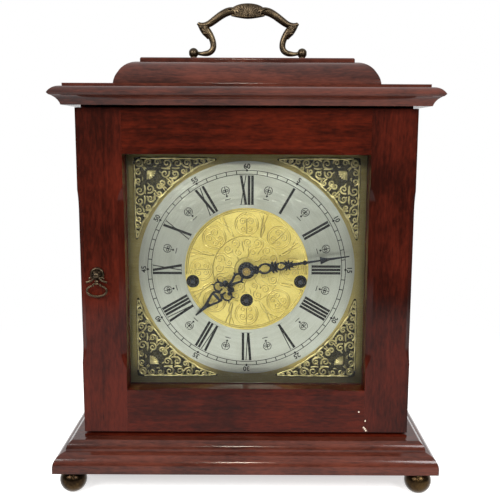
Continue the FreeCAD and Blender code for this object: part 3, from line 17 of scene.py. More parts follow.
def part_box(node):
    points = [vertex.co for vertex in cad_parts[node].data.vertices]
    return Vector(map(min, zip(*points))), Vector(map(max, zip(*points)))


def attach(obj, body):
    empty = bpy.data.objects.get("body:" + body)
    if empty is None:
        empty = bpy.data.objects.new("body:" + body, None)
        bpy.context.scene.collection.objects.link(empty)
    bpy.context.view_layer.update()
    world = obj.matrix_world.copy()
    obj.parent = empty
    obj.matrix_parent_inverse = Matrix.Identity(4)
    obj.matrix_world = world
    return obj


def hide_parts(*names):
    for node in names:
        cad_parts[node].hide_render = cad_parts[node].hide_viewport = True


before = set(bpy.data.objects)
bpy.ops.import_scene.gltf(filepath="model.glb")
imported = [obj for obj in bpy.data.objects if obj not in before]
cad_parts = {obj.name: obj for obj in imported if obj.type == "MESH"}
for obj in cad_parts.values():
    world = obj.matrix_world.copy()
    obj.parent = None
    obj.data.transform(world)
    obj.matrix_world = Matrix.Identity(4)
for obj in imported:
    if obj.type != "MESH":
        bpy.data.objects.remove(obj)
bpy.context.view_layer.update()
MM = 0.001
scene = bpy.context.scene

# %% [markdown]
# The clock is seen from a little above the dial, with the lens aimed slightly down and a hair out
# of level. The distance was worked out from how fast the plinth and the cornice recede, and the
# lens from the height of the clock in the frame. The small shift keeps the clock in its place.

# %% Camera
camera_data = bpy.data.cameras.new("camera")
camera_data.lens = 53.28
camera_data.sensor_width = 36.0
camera_data.shift_x = -0.008
camera = bpy.data.objects.new("camera", camera_data)
camera.location = (0.0055, -0.6352, 0.2794)
camera.rotation_euler = (math.radians(81.17), math.radians(-0.25), 0.0)
scene.collection.objects.link(camera)
scene.camera = camera
scene.view_settings.view_transform = "Standard"
print("camera at", tuple(round(value, 4) for value in camera.location))

# %% [markdown]
# Polished wood and metal show what stands round them, so the light decides how they look. Large
# soft lamps do it, one from the upper left and one from the upper right. Each gives the silvered
# ring a pair of bright fans that point towards it and away from it, so the lamps' directions were
# read off those fans. A large lamp gives soft edges to its reflection, as a window does. A small
# warm lamp in the middle draws the upright bright ray across the dial.

# %% Lamps
def lamp(name, place, target, size, power, colour):
    """A rectangular lamp that faces its target; size in metres, power in watts."""
    data = bpy.data.lights.new(name, "AREA")
    data.shape = "RECTANGLE"
    data.size, data.size_y = size
    data.energy = power
    data.color = colour
    item = bpy.data.objects.new(name, data)
    item.location = place
    item.rotation_euler = (Vector(target) - Vector(place)).to_track_quat("-Z", "Y").to_euler()
    scene.collection.objects.link(item)


CLOCK_MIDDLE = (0.0, 0.0, 0.2)
lamp("lamp_left", (-0.70, -0.94, 0.78), CLOCK_MIDDLE, (0.5, 0.4), 13.0, (1.0, 0.985, 0.96))
lamp("lamp_right", (0.56, -1.03, 0.78), CLOCK_MIDDLE, (0.4, 0.4), 9.0, (0.97, 0.985, 1.0))
lamp("lamp_middle", (-0.03, -1.2, 0.62), CLOCK_MIDDLE, (0.08, 0.08), 1.6, (1.0, 0.95, 0.8))

# %% [markdown]
# A material is a network of nodes, and the patterns in it are small formulas. `Socket` wraps the
# output of a node, so that a formula can be written as ordinary arithmetic, and each operation adds
# its own Math node. Colours go through Mix nodes, because Math would turn them grey.

# %% Formulas for materials
class Socket:
    def __init__(self, net, output):
        self.net, self.output = net, output

    def maths(self, operation, *terms):
        return self.net.node("ShaderNodeMath", {"operation": operation}, dict(enumerate(terms)))

    def __add__(self, other):
        return self.maths("ADD", self, other)

    def __sub__(self, other):
        return self.maths("SUBTRACT", self, other)

    def __rsub__(self, other):
        return self.maths("SUBTRACT", other, self)

    def __mul__(self, other):
        return self.maths("MULTIPLY", self, other)

    def __truediv__(self, other):
        return self.maths("DIVIDE", self, other)

    def __pow__(self, other):
        return self.maths("POWER", self, other)

    __radd__, __rmul__ = __add__, __mul__


def colour(red, green, blue):
    """A colour written as it looks on screen, from 0 to 255, made linear for the shader."""
    def linear(value):
        value /= 255
        return value / 12.92 if value <= 0.04045 else ((value + 0.055) / 1.055) ** 2.4
    return (linear(red), linear(green), linear(blue), 1.0)

# %% [markdown]
# `Finish` holds one material: its Principled shader, the Object coordinates that its patterns read,
# and short methods for the nodes used most. Object coordinates are the clock's own metres here, so
# grain runs through a piece as it does in real wood and never slides.

# %% One material and its patterns
class Finish:
    def __init__(self, name, **constants):
        self.material = bpy.data.materials.new(name)
        self.material.use_nodes = True
        self.tree = self.material.node_tree
        self.shader = self.tree.nodes["Principled BSDF"]
        self.set(**constants)
        self.place = self.node("ShaderNodeTexCoord", {}, {}, "Object")
        self.x, self.y, self.z = (self.node("ShaderNodeSeparateXYZ", {}, {0: self.place}, axis)
                                  for axis in "XYZ")

    def node(self, kind, settings, inputs, output=0):
        item = self.tree.nodes.new(kind)
        for key, value in settings.items():
            setattr(item, key, value)
        for key, value in inputs.items():
            self.link(value, item.inputs[key])
        return Socket(self, item.outputs[output])

    def link(self, value, target):
        if isinstance(value, Socket):
            self.tree.links.new(value.output, target)
        else:
            target.default_value = value

    def set(self, **sockets):
        """Sets sockets of the shader by name, with _ for each space in the name."""
        for name, value in sockets.items():
            self.link(value, self.shader.inputs[name.replace("_", " ")])

    def vector(self, x, y, z):
        return self.node("ShaderNodeCombineXYZ", {}, {0: x, 1: y, 2: z})

    def noise(self, where, scale, detail=3.0, rough=0.55, warp=0.0):
        return self.node("ShaderNodeTexNoise", {}, {"Vector": where, "Scale": scale,
                         "Detail": detail, "Roughness": rough, "Distortion": warp})

    def blend(self, amount, first, second):
        """The first colour where amount is 0, the second where it is 1."""
        colours = {0: amount, 6: first, 7: second}
        return self.node("ShaderNodeMix", {"data_type": "RGBA"}, colours, 2)

    def rise(self, value, low, high):
        """0 at low, 1 at high, a smooth step between them."""
        return self.node("ShaderNodeMapRange", {"interpolation_type": "SMOOTHSTEP"},
                         {"Value": value, "From Min": low, "From Max": high,
                          "To Min": 0.0, "To Max": 1.0})

    def bump(self, height, depth, below=None):
        inputs = {"Height": height, "Strength": 1.0, "Distance": depth}
        if below is not None:
            inputs["Normal"] = below
        return self.node("ShaderNodeBump", {}, inputs)

    def rounded(self, radius):
        """Softens sharp arrises where light catches them, as sanding and polish do."""
        return self.node("ShaderNodeBevel", {"samples": 4}, {"Radius": radius})

# %% [markdown]
# Mahogany is a red-brown wood with long open pores. Along the grain the colour changes slowly and
# across it fast, so the noise is squeezed by a different amount on each axis. Broad bands, fine
# streaks, short flecks and a slow cloud add up to the tone, and dark pores lie over it. The polish
# is a clear coat, and the arrises catch light because the Bevel node rounds them. A few chips on
# the door's lower right corner show bare pale wood.

# %% Mahogany
CHIPS = ((0.0898, 0.0622, 0.0009, 0.0007), (0.0950, 0.0548, 0.0006, 0.0010),
         (0.0940, 0.0492, 0.0008, 0.0009), (0.0949, 0.0480, 0.0008, 0.0010),
         (0.0958, 0.0467, 0.0008, 0.0009))
DOOR_FACE_Y = -0.072
PORE_BROWN, BARE_WOOD = (18, 5, 3), (222, 205, 186)


def stretched(finish, along, thin, wide):
    """The place on the clock, scaled by thin along the grain and by wide across it."""
    return finish.vector(*(place * (thin if axis == along else wide)
                           for axis, place in zip("XYZ", (finish.x, finish.y, finish.z))))


def chipped(wood):
    """1 on each chip of the door's face, with a torn edge."""
    bare = None
    for x, z, wide, high in CHIPS:
        across, up = (wood.x - x) / wide, (wood.z - z) / high
        torn = wood.noise(wood.place, 900.0, 2.0)
        spot = 1.0 - wood.rise(across * across + up * up + torn * 0.9, 0.9, 1.25)
        bare = spot if bare is None else bare.maths("MAXIMUM", bare, spot)
    return bare * wood.rise(wood.y, DOOR_FACE_Y + 0.0005, DOOR_FACE_Y - 0.0005)


def mahogany(name, along, dark, light, coat=0.4, gloss=0.08, chips=False):
    wood = Finish(name, Specular_IOR_Level=0.02, Coat_IOR=1.4, Coat_Weight=coat,
                  Coat_Roughness=gloss)
    grain = stretched(wood, along, 3.0, 60.0)
    bands = wood.noise(grain, 0.55, 4.0, 0.6, 0.6)
    streaks = wood.noise(grain, 5.0, 5.0, 0.65, 0.2)
    flecks = wood.noise(stretched(wood, along, 0.25, 1.0), 620.0, 3.0, 0.6)
    pores = wood.rise(wood.noise(grain, 22.0, 2.0, 0.5), 0.60, 0.72)
    cloud = wood.noise(wood.place, 16.0, 3.0, 0.55)
    tone = wood.rise(bands * 0.34 + streaks * 0.2 + cloud * 0.34 + flecks * 0.24, 0.44, 0.72)
    base = wood.blend(tone, colour(*dark), colour(*light))
    base = wood.blend(pores * 0.5, base, colour(*PORE_BROWN))
    if chips:
        base = wood.blend(chipped(wood), base, colour(*BARE_WOOD))
    soft = wood.rounded(0.0009)
    wood.set(Base_Color=base, Roughness=0.36 + streaks * 0.14,
             Normal=wood.bump(streaks * 0.5 + (1.0 - pores) * 0.6, 0.00006, soft))
    return wood.material


REDDER, BROWNER = ((32, 6, 2), (82, 24, 10)), ((38, 15, 10), (90, 43, 31))
upright_wood = mahogany("mahogany_upright", "Z", (32, 7, 3), (76, 24, 13), chips=True)
rail_wood = mahogany("mahogany_rail", "X", *REDDER, chips=True)
moulded_wood = mahogany("mahogany_moulded", "X", *BROWNER, coat=0.8, gloss=0.12)
side_wood = mahogany("mahogany_side", "Z", *REDDER)
inner_wood = mahogany("inner_wood", "Z", (74, 48, 30), (118, 84, 56), coat=0.0)
print("wood finishes:", [item.name for item in (upright_wood, rail_wood, moulded_wood, side_wood,
                                                inner_wood)])

# %% [markdown]
# The metals share one recipe: a metallic base, a second colour that gathers in patches, fine
# brushing or casting grain as bump, and a roughness that wanders a little. `scratch` stretches the
# grain along one axis, which is what brushing does, and `tip` turns the front end of a winding
# arbor into steel, made dark as painted shade for the deep winding hole that it stands in.

# %% Metals
# Steel darkened as painted shade: the arbor tip sits deep in its winding hole.
HOLE_SHADE_STEEL = (66, 68, 74)
ARBOR_TIP_Y = -0.034


def metal(name, base, worn, rough, scale=60.0, patch=(0.45, 0.62), metallic=1.0, depth=0.00003,
          scratch=(1.0, 1.0, 1.0), arris=0.0, tip=None):
    skin = Finish(name, Metallic=metallic)
    where = skin.vector(skin.x * scratch[0], skin.y * scratch[1], skin.z * scratch[2])
    grain = skin.noise(where, scale * 12, 3.0, 0.6)
    patches = skin.noise(skin.place, scale, 4.0, 0.6)
    amount = skin.rise(patches * 0.75 + grain * 0.25, *patch)
    below = skin.rounded(arris) if arris else None
    tone = skin.blend(amount, colour(*base), colour(*worn))
    # The arbor's steel tip, darkened as painted shade of the hole it stands in.
    if tip is not None:
        tone = skin.blend(skin.rise(skin.y, tip + 0.001, tip - 0.001), tone,
                          colour(*HOLE_SHADE_STEEL))
    skin.set(Base_Color=tone,
             Roughness=rough[0] + patches * (rough[1] - rough[0]),
             Normal=skin.bump(grain, depth, below))
    return skin.material


bronze = metal("antique_bronze", (66, 56, 44), (118, 102, 78), (0.3, 0.42), 60.0, (0.42, 0.8),
               arris=0.0004)
foot_bronze = metal("foot_bronze", (40, 30, 20), (80, 62, 38), (0.2, 0.32), 40.0, (0.42, 0.68))
hinge_brass = metal("hinge_brass", (176, 140, 74), (206, 172, 98), (0.25, 0.45))
plate_brass = metal("dial_brass", (186, 168, 104), (164, 146, 86), (0.3, 0.42), 30.0,
                    scratch=(0.06, 1.0, 3.0))
cast_brass = metal("cast_brass", (176, 162, 108), (236, 220, 160), (0.3, 0.46), 220.0,
                   (0.40, 0.6), arris=0.0002)
# Dark brass for the sheet under the castings: painted shade between the scrolls.
spandrel_painted_shade = metal("spandrel_painted_shade", (46, 42, 24), (80, 74, 44), (0.5, 0.65), 260.0)
# The engraving's two colours: the darker is painted shade in the cut, with its patina; the other is
# a painted highlight on the cut's lit edge.
gilt_painted_shade = metal("gilt_painted_shade", (164, 142, 72), (186, 162, 86), (0.34, 0.44), 90.0)
gilt_painted_highlight = metal("gilt_painted_highlight", (222, 202, 126), (206, 184, 104), (0.26, 0.36), 90.0)
blue_steel = metal("blued_steel", (14, 20, 30), (24, 32, 42), (0.24, 0.4), 90.0, metallic=0.8,
                   arris=0.0002)
barrel_brass = metal("barrel_brass", (208, 174, 92), (184, 146, 70), (0.24, 0.4), 50.0,
                     tip=ARBOR_TIP_Y)
steel = metal("bright_steel", (176, 178, 178), (140, 142, 142), (0.2, 0.36), 120.0)
train_brass = metal("movement_brass", (208, 174, 92), (184, 146, 70), (0.24, 0.4), 50.0,
                    scratch=(1.0, 1.0, 0.1))
# Black wax for the numerals; the same black is painted shade in the winding holes.
black_wax_and_shade = metal("black_wax_and_shade", (6, 6, 6), (14, 14, 13), (0.5, 0.7), 300.0, metallic=0.0)
black_wax_and_shade.node_tree.nodes["Principled BSDF"].inputs["Specular IOR Level"].default_value = 0.15
polished_brass = metal("polished_brass", (232, 200, 128), (206, 170, 96), (0.14, 0.24), 200.0)

# %% [markdown]
# The chapter ring is brass with a silver wash, grained round and round. Round grain spreads a
# highlight along the radius, which is why such a ring shows bright fans. The bump repeats that
# grain: noise that reads the distance from the centre finely and the angle coarsely.

# %% Silvered ring
DIAL_X, DIAL_Z = 0.0, 0.1710


def round_grain(skin):
    """Fine and broad noise that runs round the dial: heights for a bump."""
    across, up = skin.x - DIAL_X, skin.z - DIAL_Z
    radius = (across * across + up * up) ** 0.5
    turn = up.maths("ARCTAN2", up, across)
    return (skin.noise(skin.vector(radius * 4200.0, turn * 3.0, 0.0), 1.0, 2.0, 0.6),
            skin.noise(skin.vector(radius * 500.0, turn * 1.5, 0.0), 1.0, 3.0, 0.6))


def silvered(name):
    skin = Finish(name, Metallic=1.0)
    grain, broad = round_grain(skin)
    cloud = skin.noise(skin.place, 45.0, 3.0, 0.6)
    tone = skin.rise(broad * 0.5 + cloud * 0.5, 0.35, 0.65)
    skin.set(Base_Color=skin.blend(tone, colour(214, 214, 202), colour(198, 198, 184)),
             Roughness=0.3 + cloud * 0.05, Normal=skin.bump(grain + broad * 0.15, 0.00011))
    return skin.material


silver = silvered("silvered_ring")

# %% [markdown]
# Between the larger scrolls of the golden centre the engraver filled the ground with fine swirls.
# The level lines of a warped noise make such swirls: a sine of the noise is high along them. They
# are a small change of tone and height, under the scrolls that are real geometry.

# %% Gilt centre
def swirled(name):
    skin = Finish(name, Metallic=0.85)
    ground = skin.noise(skin.place, 62.0, 1.5, 0.5, 0.9)
    swirl = (ground * 72.0).maths("SINE") * 0.5 + 0.5
    cloud = skin.noise(skin.place, 38.0, 4.0, 0.6)
    speck = skin.noise(skin.place, 900.0, 3.0, 0.6)
    tone = skin.blend(skin.rise(cloud * 0.7 + speck * 0.3, 0.4, 0.62), colour(244, 222, 130),
                      colour(222, 198, 104))
    cut = skin.rise(swirl, 0.72, 1.0)
    spun = round_grain(skin)[0]
    skin.set(Base_Color=skin.blend(cut * 0.55, tone, colour(150, 126, 58)),
             Roughness=0.34 + cloud * 0.12,
             Normal=skin.bump(speck * 0.3 + (1.0 - cut) * 0.5 + spun * 0.9, 0.0001))
    return skin.material


gilt_centre = swirled("gilt_centre")

# %% [markdown]
# Clear glass lets the light through and only adds its reflection. A transparent shader is mixed
# with a glossy one by Fresnel, so the pane is clear from the front and bright at a low angle, and
# it doesn't darken the dial as a solid block of refracting glass would.

# %% Door glass
def clear_glass(name):
    pane = Finish(name, Base_Color=(1.0, 1.0, 1.0, 1.0))
    smear = pane.noise(pane.place, 30.0, 3.0)
    pane.set(Roughness=0.015 + smear * 0.03)
    clear = pane.node("ShaderNodeBsdfTransparent", {}, {0: (0.97, 0.985, 0.975, 1.0)})
    facing = pane.node("ShaderNodeFresnel", {}, {"IOR": 1.35})
    mixed = pane.node("ShaderNodeMixShader", {}, {0: facing * 0.5, 1: clear})
    mixer = mixed.output.node
    pane.tree.links.new(pane.shader.outputs[0], mixer.inputs[2])
    pane.tree.links.new(mixer.outputs[0], pane.tree.nodes["Material Output"].inputs[0])
    return pane.material


glass = clear_glass("clear_glass")

# %% [markdown]
# Each solid takes its finish in its own material slots. A solid's shape isn't touched.

# %% Finishes of the solids
FINISHES = {
    "door_stile_left door_stile_right": upright_wood,
    "door_rail_top door_rail_bottom": rail_wood,
    "plinth_moulding cornice_moulding bell_top top_cap": moulded_wood,
    "side_panel_left side_panel_right back_door back_rails": side_wood,
    "dial_frame seat_board": inner_wood,
    "top_board base_board glazing_beads": rail_wood,
    "feet": foot_bronze,
    "handle_bail handle_posts pull_post pull_ring": bronze,
    "time_barrel strike_barrel chime_barrel": barrel_brass,
    "door_hinge_leaves case_hinge_leaves back_door_leaves back_case_leaves turn_button "
    "door_catch": hinge_brass,
    "dial_plate": plate_brass,
    "spandrels": spandrel_painted_shade,
    "dial_centre": gilt_centre,
    "chapter_ring": silver,
    "door_glass": glass,
    "hour_hand minute_hand": blue_steel,
    "hand_nut": polished_brass,
}
finish_of = {name: item for names, item in FINISHES.items() for name in names.split()}
STEEL_WORDS = ("pinion", "lever", "rods", "pillars")
for name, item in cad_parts.items():
    chosen = finish_of.get(name)
    if chosen is None:
        chosen = steel if any(word in name for word in STEEL_WORDS) else train_brass
    item.data.materials.clear()
    item.data.materials.append(chosen)
print("finished solids:", len(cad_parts), "by name:", len(finish_of))

# %% [markdown]
# New pieces start as a bmesh. `piece` gives one its finish, sets it in the clock and lets it ride
# on the body that carries it. The dial is drawn flat first, u to the right, v up and w towards
# the viewer, and `upright` stands that drawing up and moves it to the dial's centre.

# %% Helpers for new pieces
def piece(name, form, material, body, smooth=True):
    """Makes an object of a bmesh that already stands in its place on the clock."""
    mesh = bpy.data.meshes.new(name)
    bmesh.ops.recalc_face_normals(form, faces=form.faces)
    form.to_mesh(mesh)
    form.free()
    for face in mesh.polygons:
        face.use_smooth = smooth
    mesh.materials.append(material)
    item = bpy.data.objects.new(name, mesh)
    scene.collection.objects.link(item)
    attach(item, body)
    print(f"{name}: {len(mesh.polygons)} faces on {body}")
    return item


def upright(front, centre_x=DIAL_X, centre_z=DIAL_Z):
    """Stands a flat drawing up: u to X, v to Z, w towards the viewer from the plane at front."""
    return Matrix.Translation((centre_x, front, centre_z)) @ Matrix.Rotation(math.pi / 2, 4, "X")


def bar(form, start, end, wide, thick, tip=None):
    """A straight bar in the drawing, from start to end, with an end of its own width if asked."""
    start, end = Vector((*start, 0)), Vector((*end, 0))
    run = end - start
    made = bmesh.ops.create_cube(form, size=1.0)["verts"]
    if tip is not None:
        for corner in made:
            if corner.co.y > 0:
                corner.co.x *= tip / wide
    turn = Matrix.Rotation(math.atan2(-run.x, run.y), 4, "Z")
    bmesh.ops.transform(form, verts=made, matrix=Matrix.Translation((start + end) / 2) @ turn
                        @ Matrix.Diagonal((wide, run.length, thick, 1.0)))
    return made


def ring(form, centre, radius, wide, thick, start=0.0, sweep=360.0, steps=48):
    """A flat ring, or an arc of one, spun from a small rectangle."""
    section = bmesh.ops.create_grid(form, x_segments=1, y_segments=1, size=0.5)["verts"]
    place = (Matrix.Translation((centre[0], centre[1], 0))
             @ Matrix.Rotation(math.radians(start), 4, "Z") @ Matrix.Translation((radius, 0, 0))
             @ Matrix.Diagonal((wide, 1.0, thick, 1.0)) @ Matrix.Rotation(math.pi / 2, 4, "X"))
    bmesh.ops.transform(form, verts=section, matrix=place)
    faces = list({face for corner in section for face in corner.link_faces})
    full = sweep >= 360.0
    bmesh.ops.spin(form, geom=faces + list({e for f in faces for e in f.edges}) + section,
                   cent=(centre[0], centre[1], 0), axis=(0, 0, 1), angle=math.radians(sweep),
                   steps=steps, use_merge=full)
    if full:
        bmesh.ops.delete(form, geom=[f for f in faces if f.is_valid], context="FACES_ONLY")


def disc(form, centre, radius, thick):
    """A flat round plate."""
    made = bmesh.ops.create_cone(form, cap_ends=True, segments=24, radius1=radius,
                                 radius2=radius, depth=thick)["verts"]
    bmesh.ops.translate(form, verts=made, vec=(*centre, 0))


def add_form(target, source, matrix):
    """Adds a turned copy of one drawing to another."""
    mesh = bpy.data.meshes.new("copy")
    source.to_mesh(mesh)
    mesh.transform(matrix)
    target.from_mesh(mesh)
    bpy.data.meshes.remove(mesh)


def turned(degrees):
    """A turn clockwise on the dial, as the viewer sees it."""
    return Matrix.Rotation(-math.radians(degrees), 4, "Z")

# %% [markdown]
# The hours are Roman, each letter standing with its feet towards the centre, and the fourth hour
# is IIII as on most old dials. A letter is a few straight bars. X and V have one thick and one
# thin leg, and hairline serifs close the ends. The letters lie just proud of the ring, as thick
# black wax does.

# %% Roman hours
HOUR_LOW, HOUR_HIGH = 53.0 * MM, 76.4 * MM
WAX = 0.12 * MM
THICK_LEG, THIN_LEG, SERIF = 2.05 * MM, 0.75 * MM, 0.22 * MM
LETTER_WIDE = {"I": 2.75 * MM, "V": 5.8 * MM, "X": 6.2 * MM}


def roman(form, word):
    """Draws one hour standing on the radius, centred on the line u = 0."""
    new = []
    wide = sum(LETTER_WIDE[letter] for letter in word)
    left = -wide / 2
    for letter in word:
        width = LETTER_WIDE[letter]
        middle = left + width / 2
        lean = width / 2 - THICK_LEG * 0.55
        legs = {"I": ((0, 0, THICK_LEG),),
                "V": ((0, -lean, THICK_LEG), (THICK_LEG * 0.2, lean, THIN_LEG)),
                "X": ((lean, -lean, THICK_LEG), (-lean, lean, THIN_LEG))}[letter]
        for foot, head, thick in legs:
            new += bar(form, (middle + foot, HOUR_LOW), (middle + head, HOUR_HIGH), thick, WAX)
        left += width
    for level in (HOUR_LOW, HOUR_HIGH):
        new += bar(form, (-wide / 2, level), (wide / 2, level), SERIF, WAX)
    return new


HOURS = "XII I II III IIII V VI VII VIII IX X XI".split()
markings = bmesh.new()
for count, word in enumerate(HOURS):
    letters = roman(markings, word)
    bmesh.ops.transform(markings, verts=letters, matrix=turned(30 * count))
print("hours drawn:", len(HOURS), "faces:", len(markings.faces))

# %% [markdown]
# Outside the hours runs the minute track: two hairlines with a tick for each minute and a diamond
# for each five. Half-hour marks stand between the hours: a bud of two curved leaves and two
# loops on a stem, a small diamond and a foot.

# %% Minute track and half hours
TRACK_IN, TRACK_OUT, TRACK_LINE, TICK = 77.5 * MM, 80.6 * MM, 0.55 * MM, 0.7 * MM
FINE_LINE = 0.6 * MM


def diamond(form, level, side):
    """A small square standing on its corner, level above the dial's centre."""
    made = bar(form, (0, -side / 2), (0, side / 2), side, WAX)
    bmesh.ops.transform(form, verts=made, matrix=Matrix.Translation((0, level, 0)) @ turned(-45))
    return made


def half_hour():
    """One half-hour mark, drawn at the top of the dial."""
    form = bmesh.new()
    for start in (105, -75):
        ring(form, (0, 66.6 * MM), 3.2 * MM, FINE_LINE, WAX, start, 150, 14)
    for side in (-1, 1):
        ring(form, (side * 1.15 * MM, 66.2 * MM), 0.95 * MM, FINE_LINE, WAX, steps=12)
    bar(form, (0, 62.4 * MM), (0, 70.0 * MM), FINE_LINE, WAX)
    diamond(form, 61.9 * MM, 1.5 * MM)
    bar(form, (-2.3 * MM, 59.2 * MM), (2.3 * MM, 59.2 * MM), FINE_LINE, WAX)
    return form


for radius in (TRACK_IN, TRACK_OUT):
    ring(markings, (0, 0), radius, TRACK_LINE, WAX, steps=180)
for minute in range(60):
    if minute % 5:
        mark = bar(markings, (0, TRACK_IN), (0, TRACK_OUT), TICK, WAX)
    else:
        mark = diamond(markings, TRACK_OUT, 1.8 * MM)
    bmesh.ops.transform(markings, verts=mark, matrix=turned(6 * minute))
half = half_hour()
for count in range(12):
    add_form(markings, half, turned(30 * count + 15))
half.free()
print("track and half hours drawn, faces:", len(markings.faces))

# %% [markdown]
# The small minute figures come from a text object, turned into a mesh before it is moved, so that
# its place ends up in its mesh.

# %% Minute figures
FIGURE_HIGH, FIGURE_REACH = 4.0 * MM, 83.6 * MM
SIZE_PER_HEIGHT = 1.38
PROUD = 0.02 * MM


def curve_mesh(data):
    """A curve or text as a plain mesh, the curve removed."""
    item = bpy.data.objects.new("drawing", data)
    scene.collection.objects.link(item)
    bpy.context.view_layer.update()
    solid = item.evaluated_get(bpy.context.evaluated_depsgraph_get())
    mesh = bpy.data.meshes.new_from_object(solid)
    bpy.data.objects.remove(item)
    bpy.data.curves.remove(data)
    return mesh


def figures(text):
    """A number as a mesh, centred on its own middle, thickened a little."""
    data = bpy.data.curves.new("figures", "FONT")
    data.body = text
    data.size = FIGURE_HIGH * SIZE_PER_HEIGHT
    data.align_x, data.align_y = "CENTER", "CENTER"
    data.extrude = WAX / 2
    data.offset = FIGURE_HIGH * 0.04
    data.resolution_u = 3
    return curve_mesh(data)


for count in range(12):
    text = figures(str(5 * count or 60))
    text.transform(turned(30 * count) @ Matrix.Translation((0, FIGURE_REACH, 0)))
    markings.from_mesh(text)
    bpy.data.meshes.remove(text)
bmesh.ops.transform(markings, verts=markings.verts,
                    matrix=upright(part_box("chapter_ring")[0].y + PROUD))
piece("dial_markings", markings, black_wax_and_shade, "case", smooth=False)

# %% [markdown]
# Scrolls are the ornament of the whole dial. A scroll is a curve that winds inwards and gets
# thinner, so one function gives its points and its radii, and a bevelled curve gives it body.
# `strokes` turns a list of such lines into one mesh, and `press` limits how far it stands out.

# %% Scrolls
def scroll(centre, outer, inner, turns, start, hand=1, thick=1.0, steps=14):
    """Points (u, v, radius) along a spiral that winds in from outer to inner."""
    line = []
    for step in range(steps + 1):
        part = step / steps
        angle = math.radians(start) + hand * part * turns * 2 * math.pi
        reach = outer + (inner - outer) * part ** 0.8
        line.append((centre[0] + reach * math.cos(angle), centre[1] + reach * math.sin(angle),
                     thick * (1.0 - 0.45 * part)))
    return line


def strokes(lines, round_steps=2):
    """Round strokes through points (u, v, radius) in millimetres, as one mesh lying flat."""
    data = bpy.data.curves.new("strokes", "CURVE")
    data.dimensions = "3D"
    data.bevel_depth = MM
    data.bevel_resolution = round_steps
    data.use_fill_caps = True
    data.resolution_u = 4
    for line in lines:
        spline = data.splines.new("NURBS")
        spline.points.add(len(line) - 1)
        for point, (u, v, radius) in zip(spline.points, line):
            point.co = (u * MM, v * MM, 0.0, 1.0)
            point.radius = radius
        spline.order_u = 3
        spline.use_endpoint_u = True
    return curve_mesh(data)


def press(form, low, high):
    """Flattens what stands above high or below low, both measured towards the viewer."""
    for corner in form.verts:
        corner.co.z = min(max(corner.co.z, low), high)


def drawn(mesh):
    """A mesh turned into a bmesh, so that it can be worked on."""
    form = bmesh.new()
    form.from_mesh(mesh)
    bpy.data.meshes.remove(mesh)
    return form

# %% [markdown]
# Each corner of the dial has a cast spandrel: leafy scrolls round a small shell. Under them lies a
# dark sheet with a lobed edge, painted shade that shows between the scrolls. One corner is drawn
# with its own corner at the origin, u and v running inwards along its two legs, and half of it is
# drawn twice, the second time with u and v exchanged. The other three corners are turns of the
# first.

# %% Corner castings
SPANDREL_REACH = 91.0
SCROLLS = (
    (4.6, 4.6, 3.5, 45, 1), (12.2, 4.2, 3.2, 160, 1), (19.4, 4.0, 3.0, 20, -1),
    (27.0, 4.9, 4.2, 100, -1), (35.4, 4.8, 4.2, 200, 1), (43.2, 4.4, 3.4, 60, -1),
    (49.8, 3.6, 2.7, 220, 1), (55.4, 2.9, 2.1, 80, -1), (60.2, 2.3, 1.5, 200, 1),
    (25.4, 13.2, 3.9, 330, 1), (33.4, 13.4, 3.6, 120, -1), (40.4, 11.2, 2.8, 320, 1),
    (46.6, 9.2, 2.0, 120, -1), (23.0, 20.6, 2.9, 120, -1), (29.4, 20.4, 2.9, 300, 1))
LEAVES = [
    [(6.0, 0.9, 0.7), (16.0, 1.3, 0.8), (30.0, 0.8, 0.8), (46.0, 1.2, 0.7), (58.0, 0.9, 0.6),
     (65.4, 1.8, 0.6)],
    [(65.2, 2.4, 0.6), (58.0, 5.4, 0.8), (52.0, 7.0, 0.7), (46.6, 11.6, 0.9), (42.6, 13.4, 0.7),
     (38.6, 17.2, 0.9), (32.6, 20.6, 0.8), (31.2, 23.6, 0.9), (27.2, 26.6, 0.8)],
    [(31.0, 8.6, 0.5), (33.6, 9.6, 1.1), (37.4, 8.6, 0.5)],
    [(39.0, 5.4, 0.5), (40.6, 8.0, 1.0), (44.6, 8.2, 0.5)],
    [(22.4, 8.6, 0.5), (24.4, 9.2, 1.2), (29.6, 9.4, 0.5)],
    [(28.6, 16.6, 0.5), (29.8, 17.0, 1.0), (34.4, 17.4, 0.5)]]
SPRIG_PLACES = ((7.8, 8.2, 1.4), (16.0, 8.0, -1.0), (20.6, 12.2, 1.0), (31.2, 11.4, 1.2),
                (36.8, 5.6, -0.8), (38.6, 12.4, 1.0), (45.0, 8.2, -0.6), (52.0, 5.2, 0.8),
                (26.4, 17.6, 1.2), (24.0, 24.2, 1.0))
SPRIGS = [[(u + 0.2, v - 0.9, 0.4), (u + 1.2, v + 0.2, 0.8), (u + 2.9, v + lift, 0.3)]
          for u, v, lift in SPRIG_PLACES]
HALF_CORNER = [scroll((u, v), reach, reach * 0.18, 1.35, start, hand, 0.8)
               for u, v, reach, start, hand in SCROLLS] + LEAVES + SPRIGS
other_half = [[(v, u, radius) for u, v, radius in line] for line in HALF_CORNER]
SHELL_ROOT = 11.4
shell = []
for lean in (-46, -28, -10, 10, 28, 46):
    way = math.radians(45 + lean)
    shell.append([(SHELL_ROOT + reach * math.cos(way), SHELL_ROOT + reach * math.sin(way), thick)
                  for reach, thick in ((0.0, 0.7), (3.4, 1.25), (6.6, 0.7))])
corner = drawn(strokes(HALF_CORNER + other_half + shell))
press(corner, -0.6 * MM, 1.2 * MM)
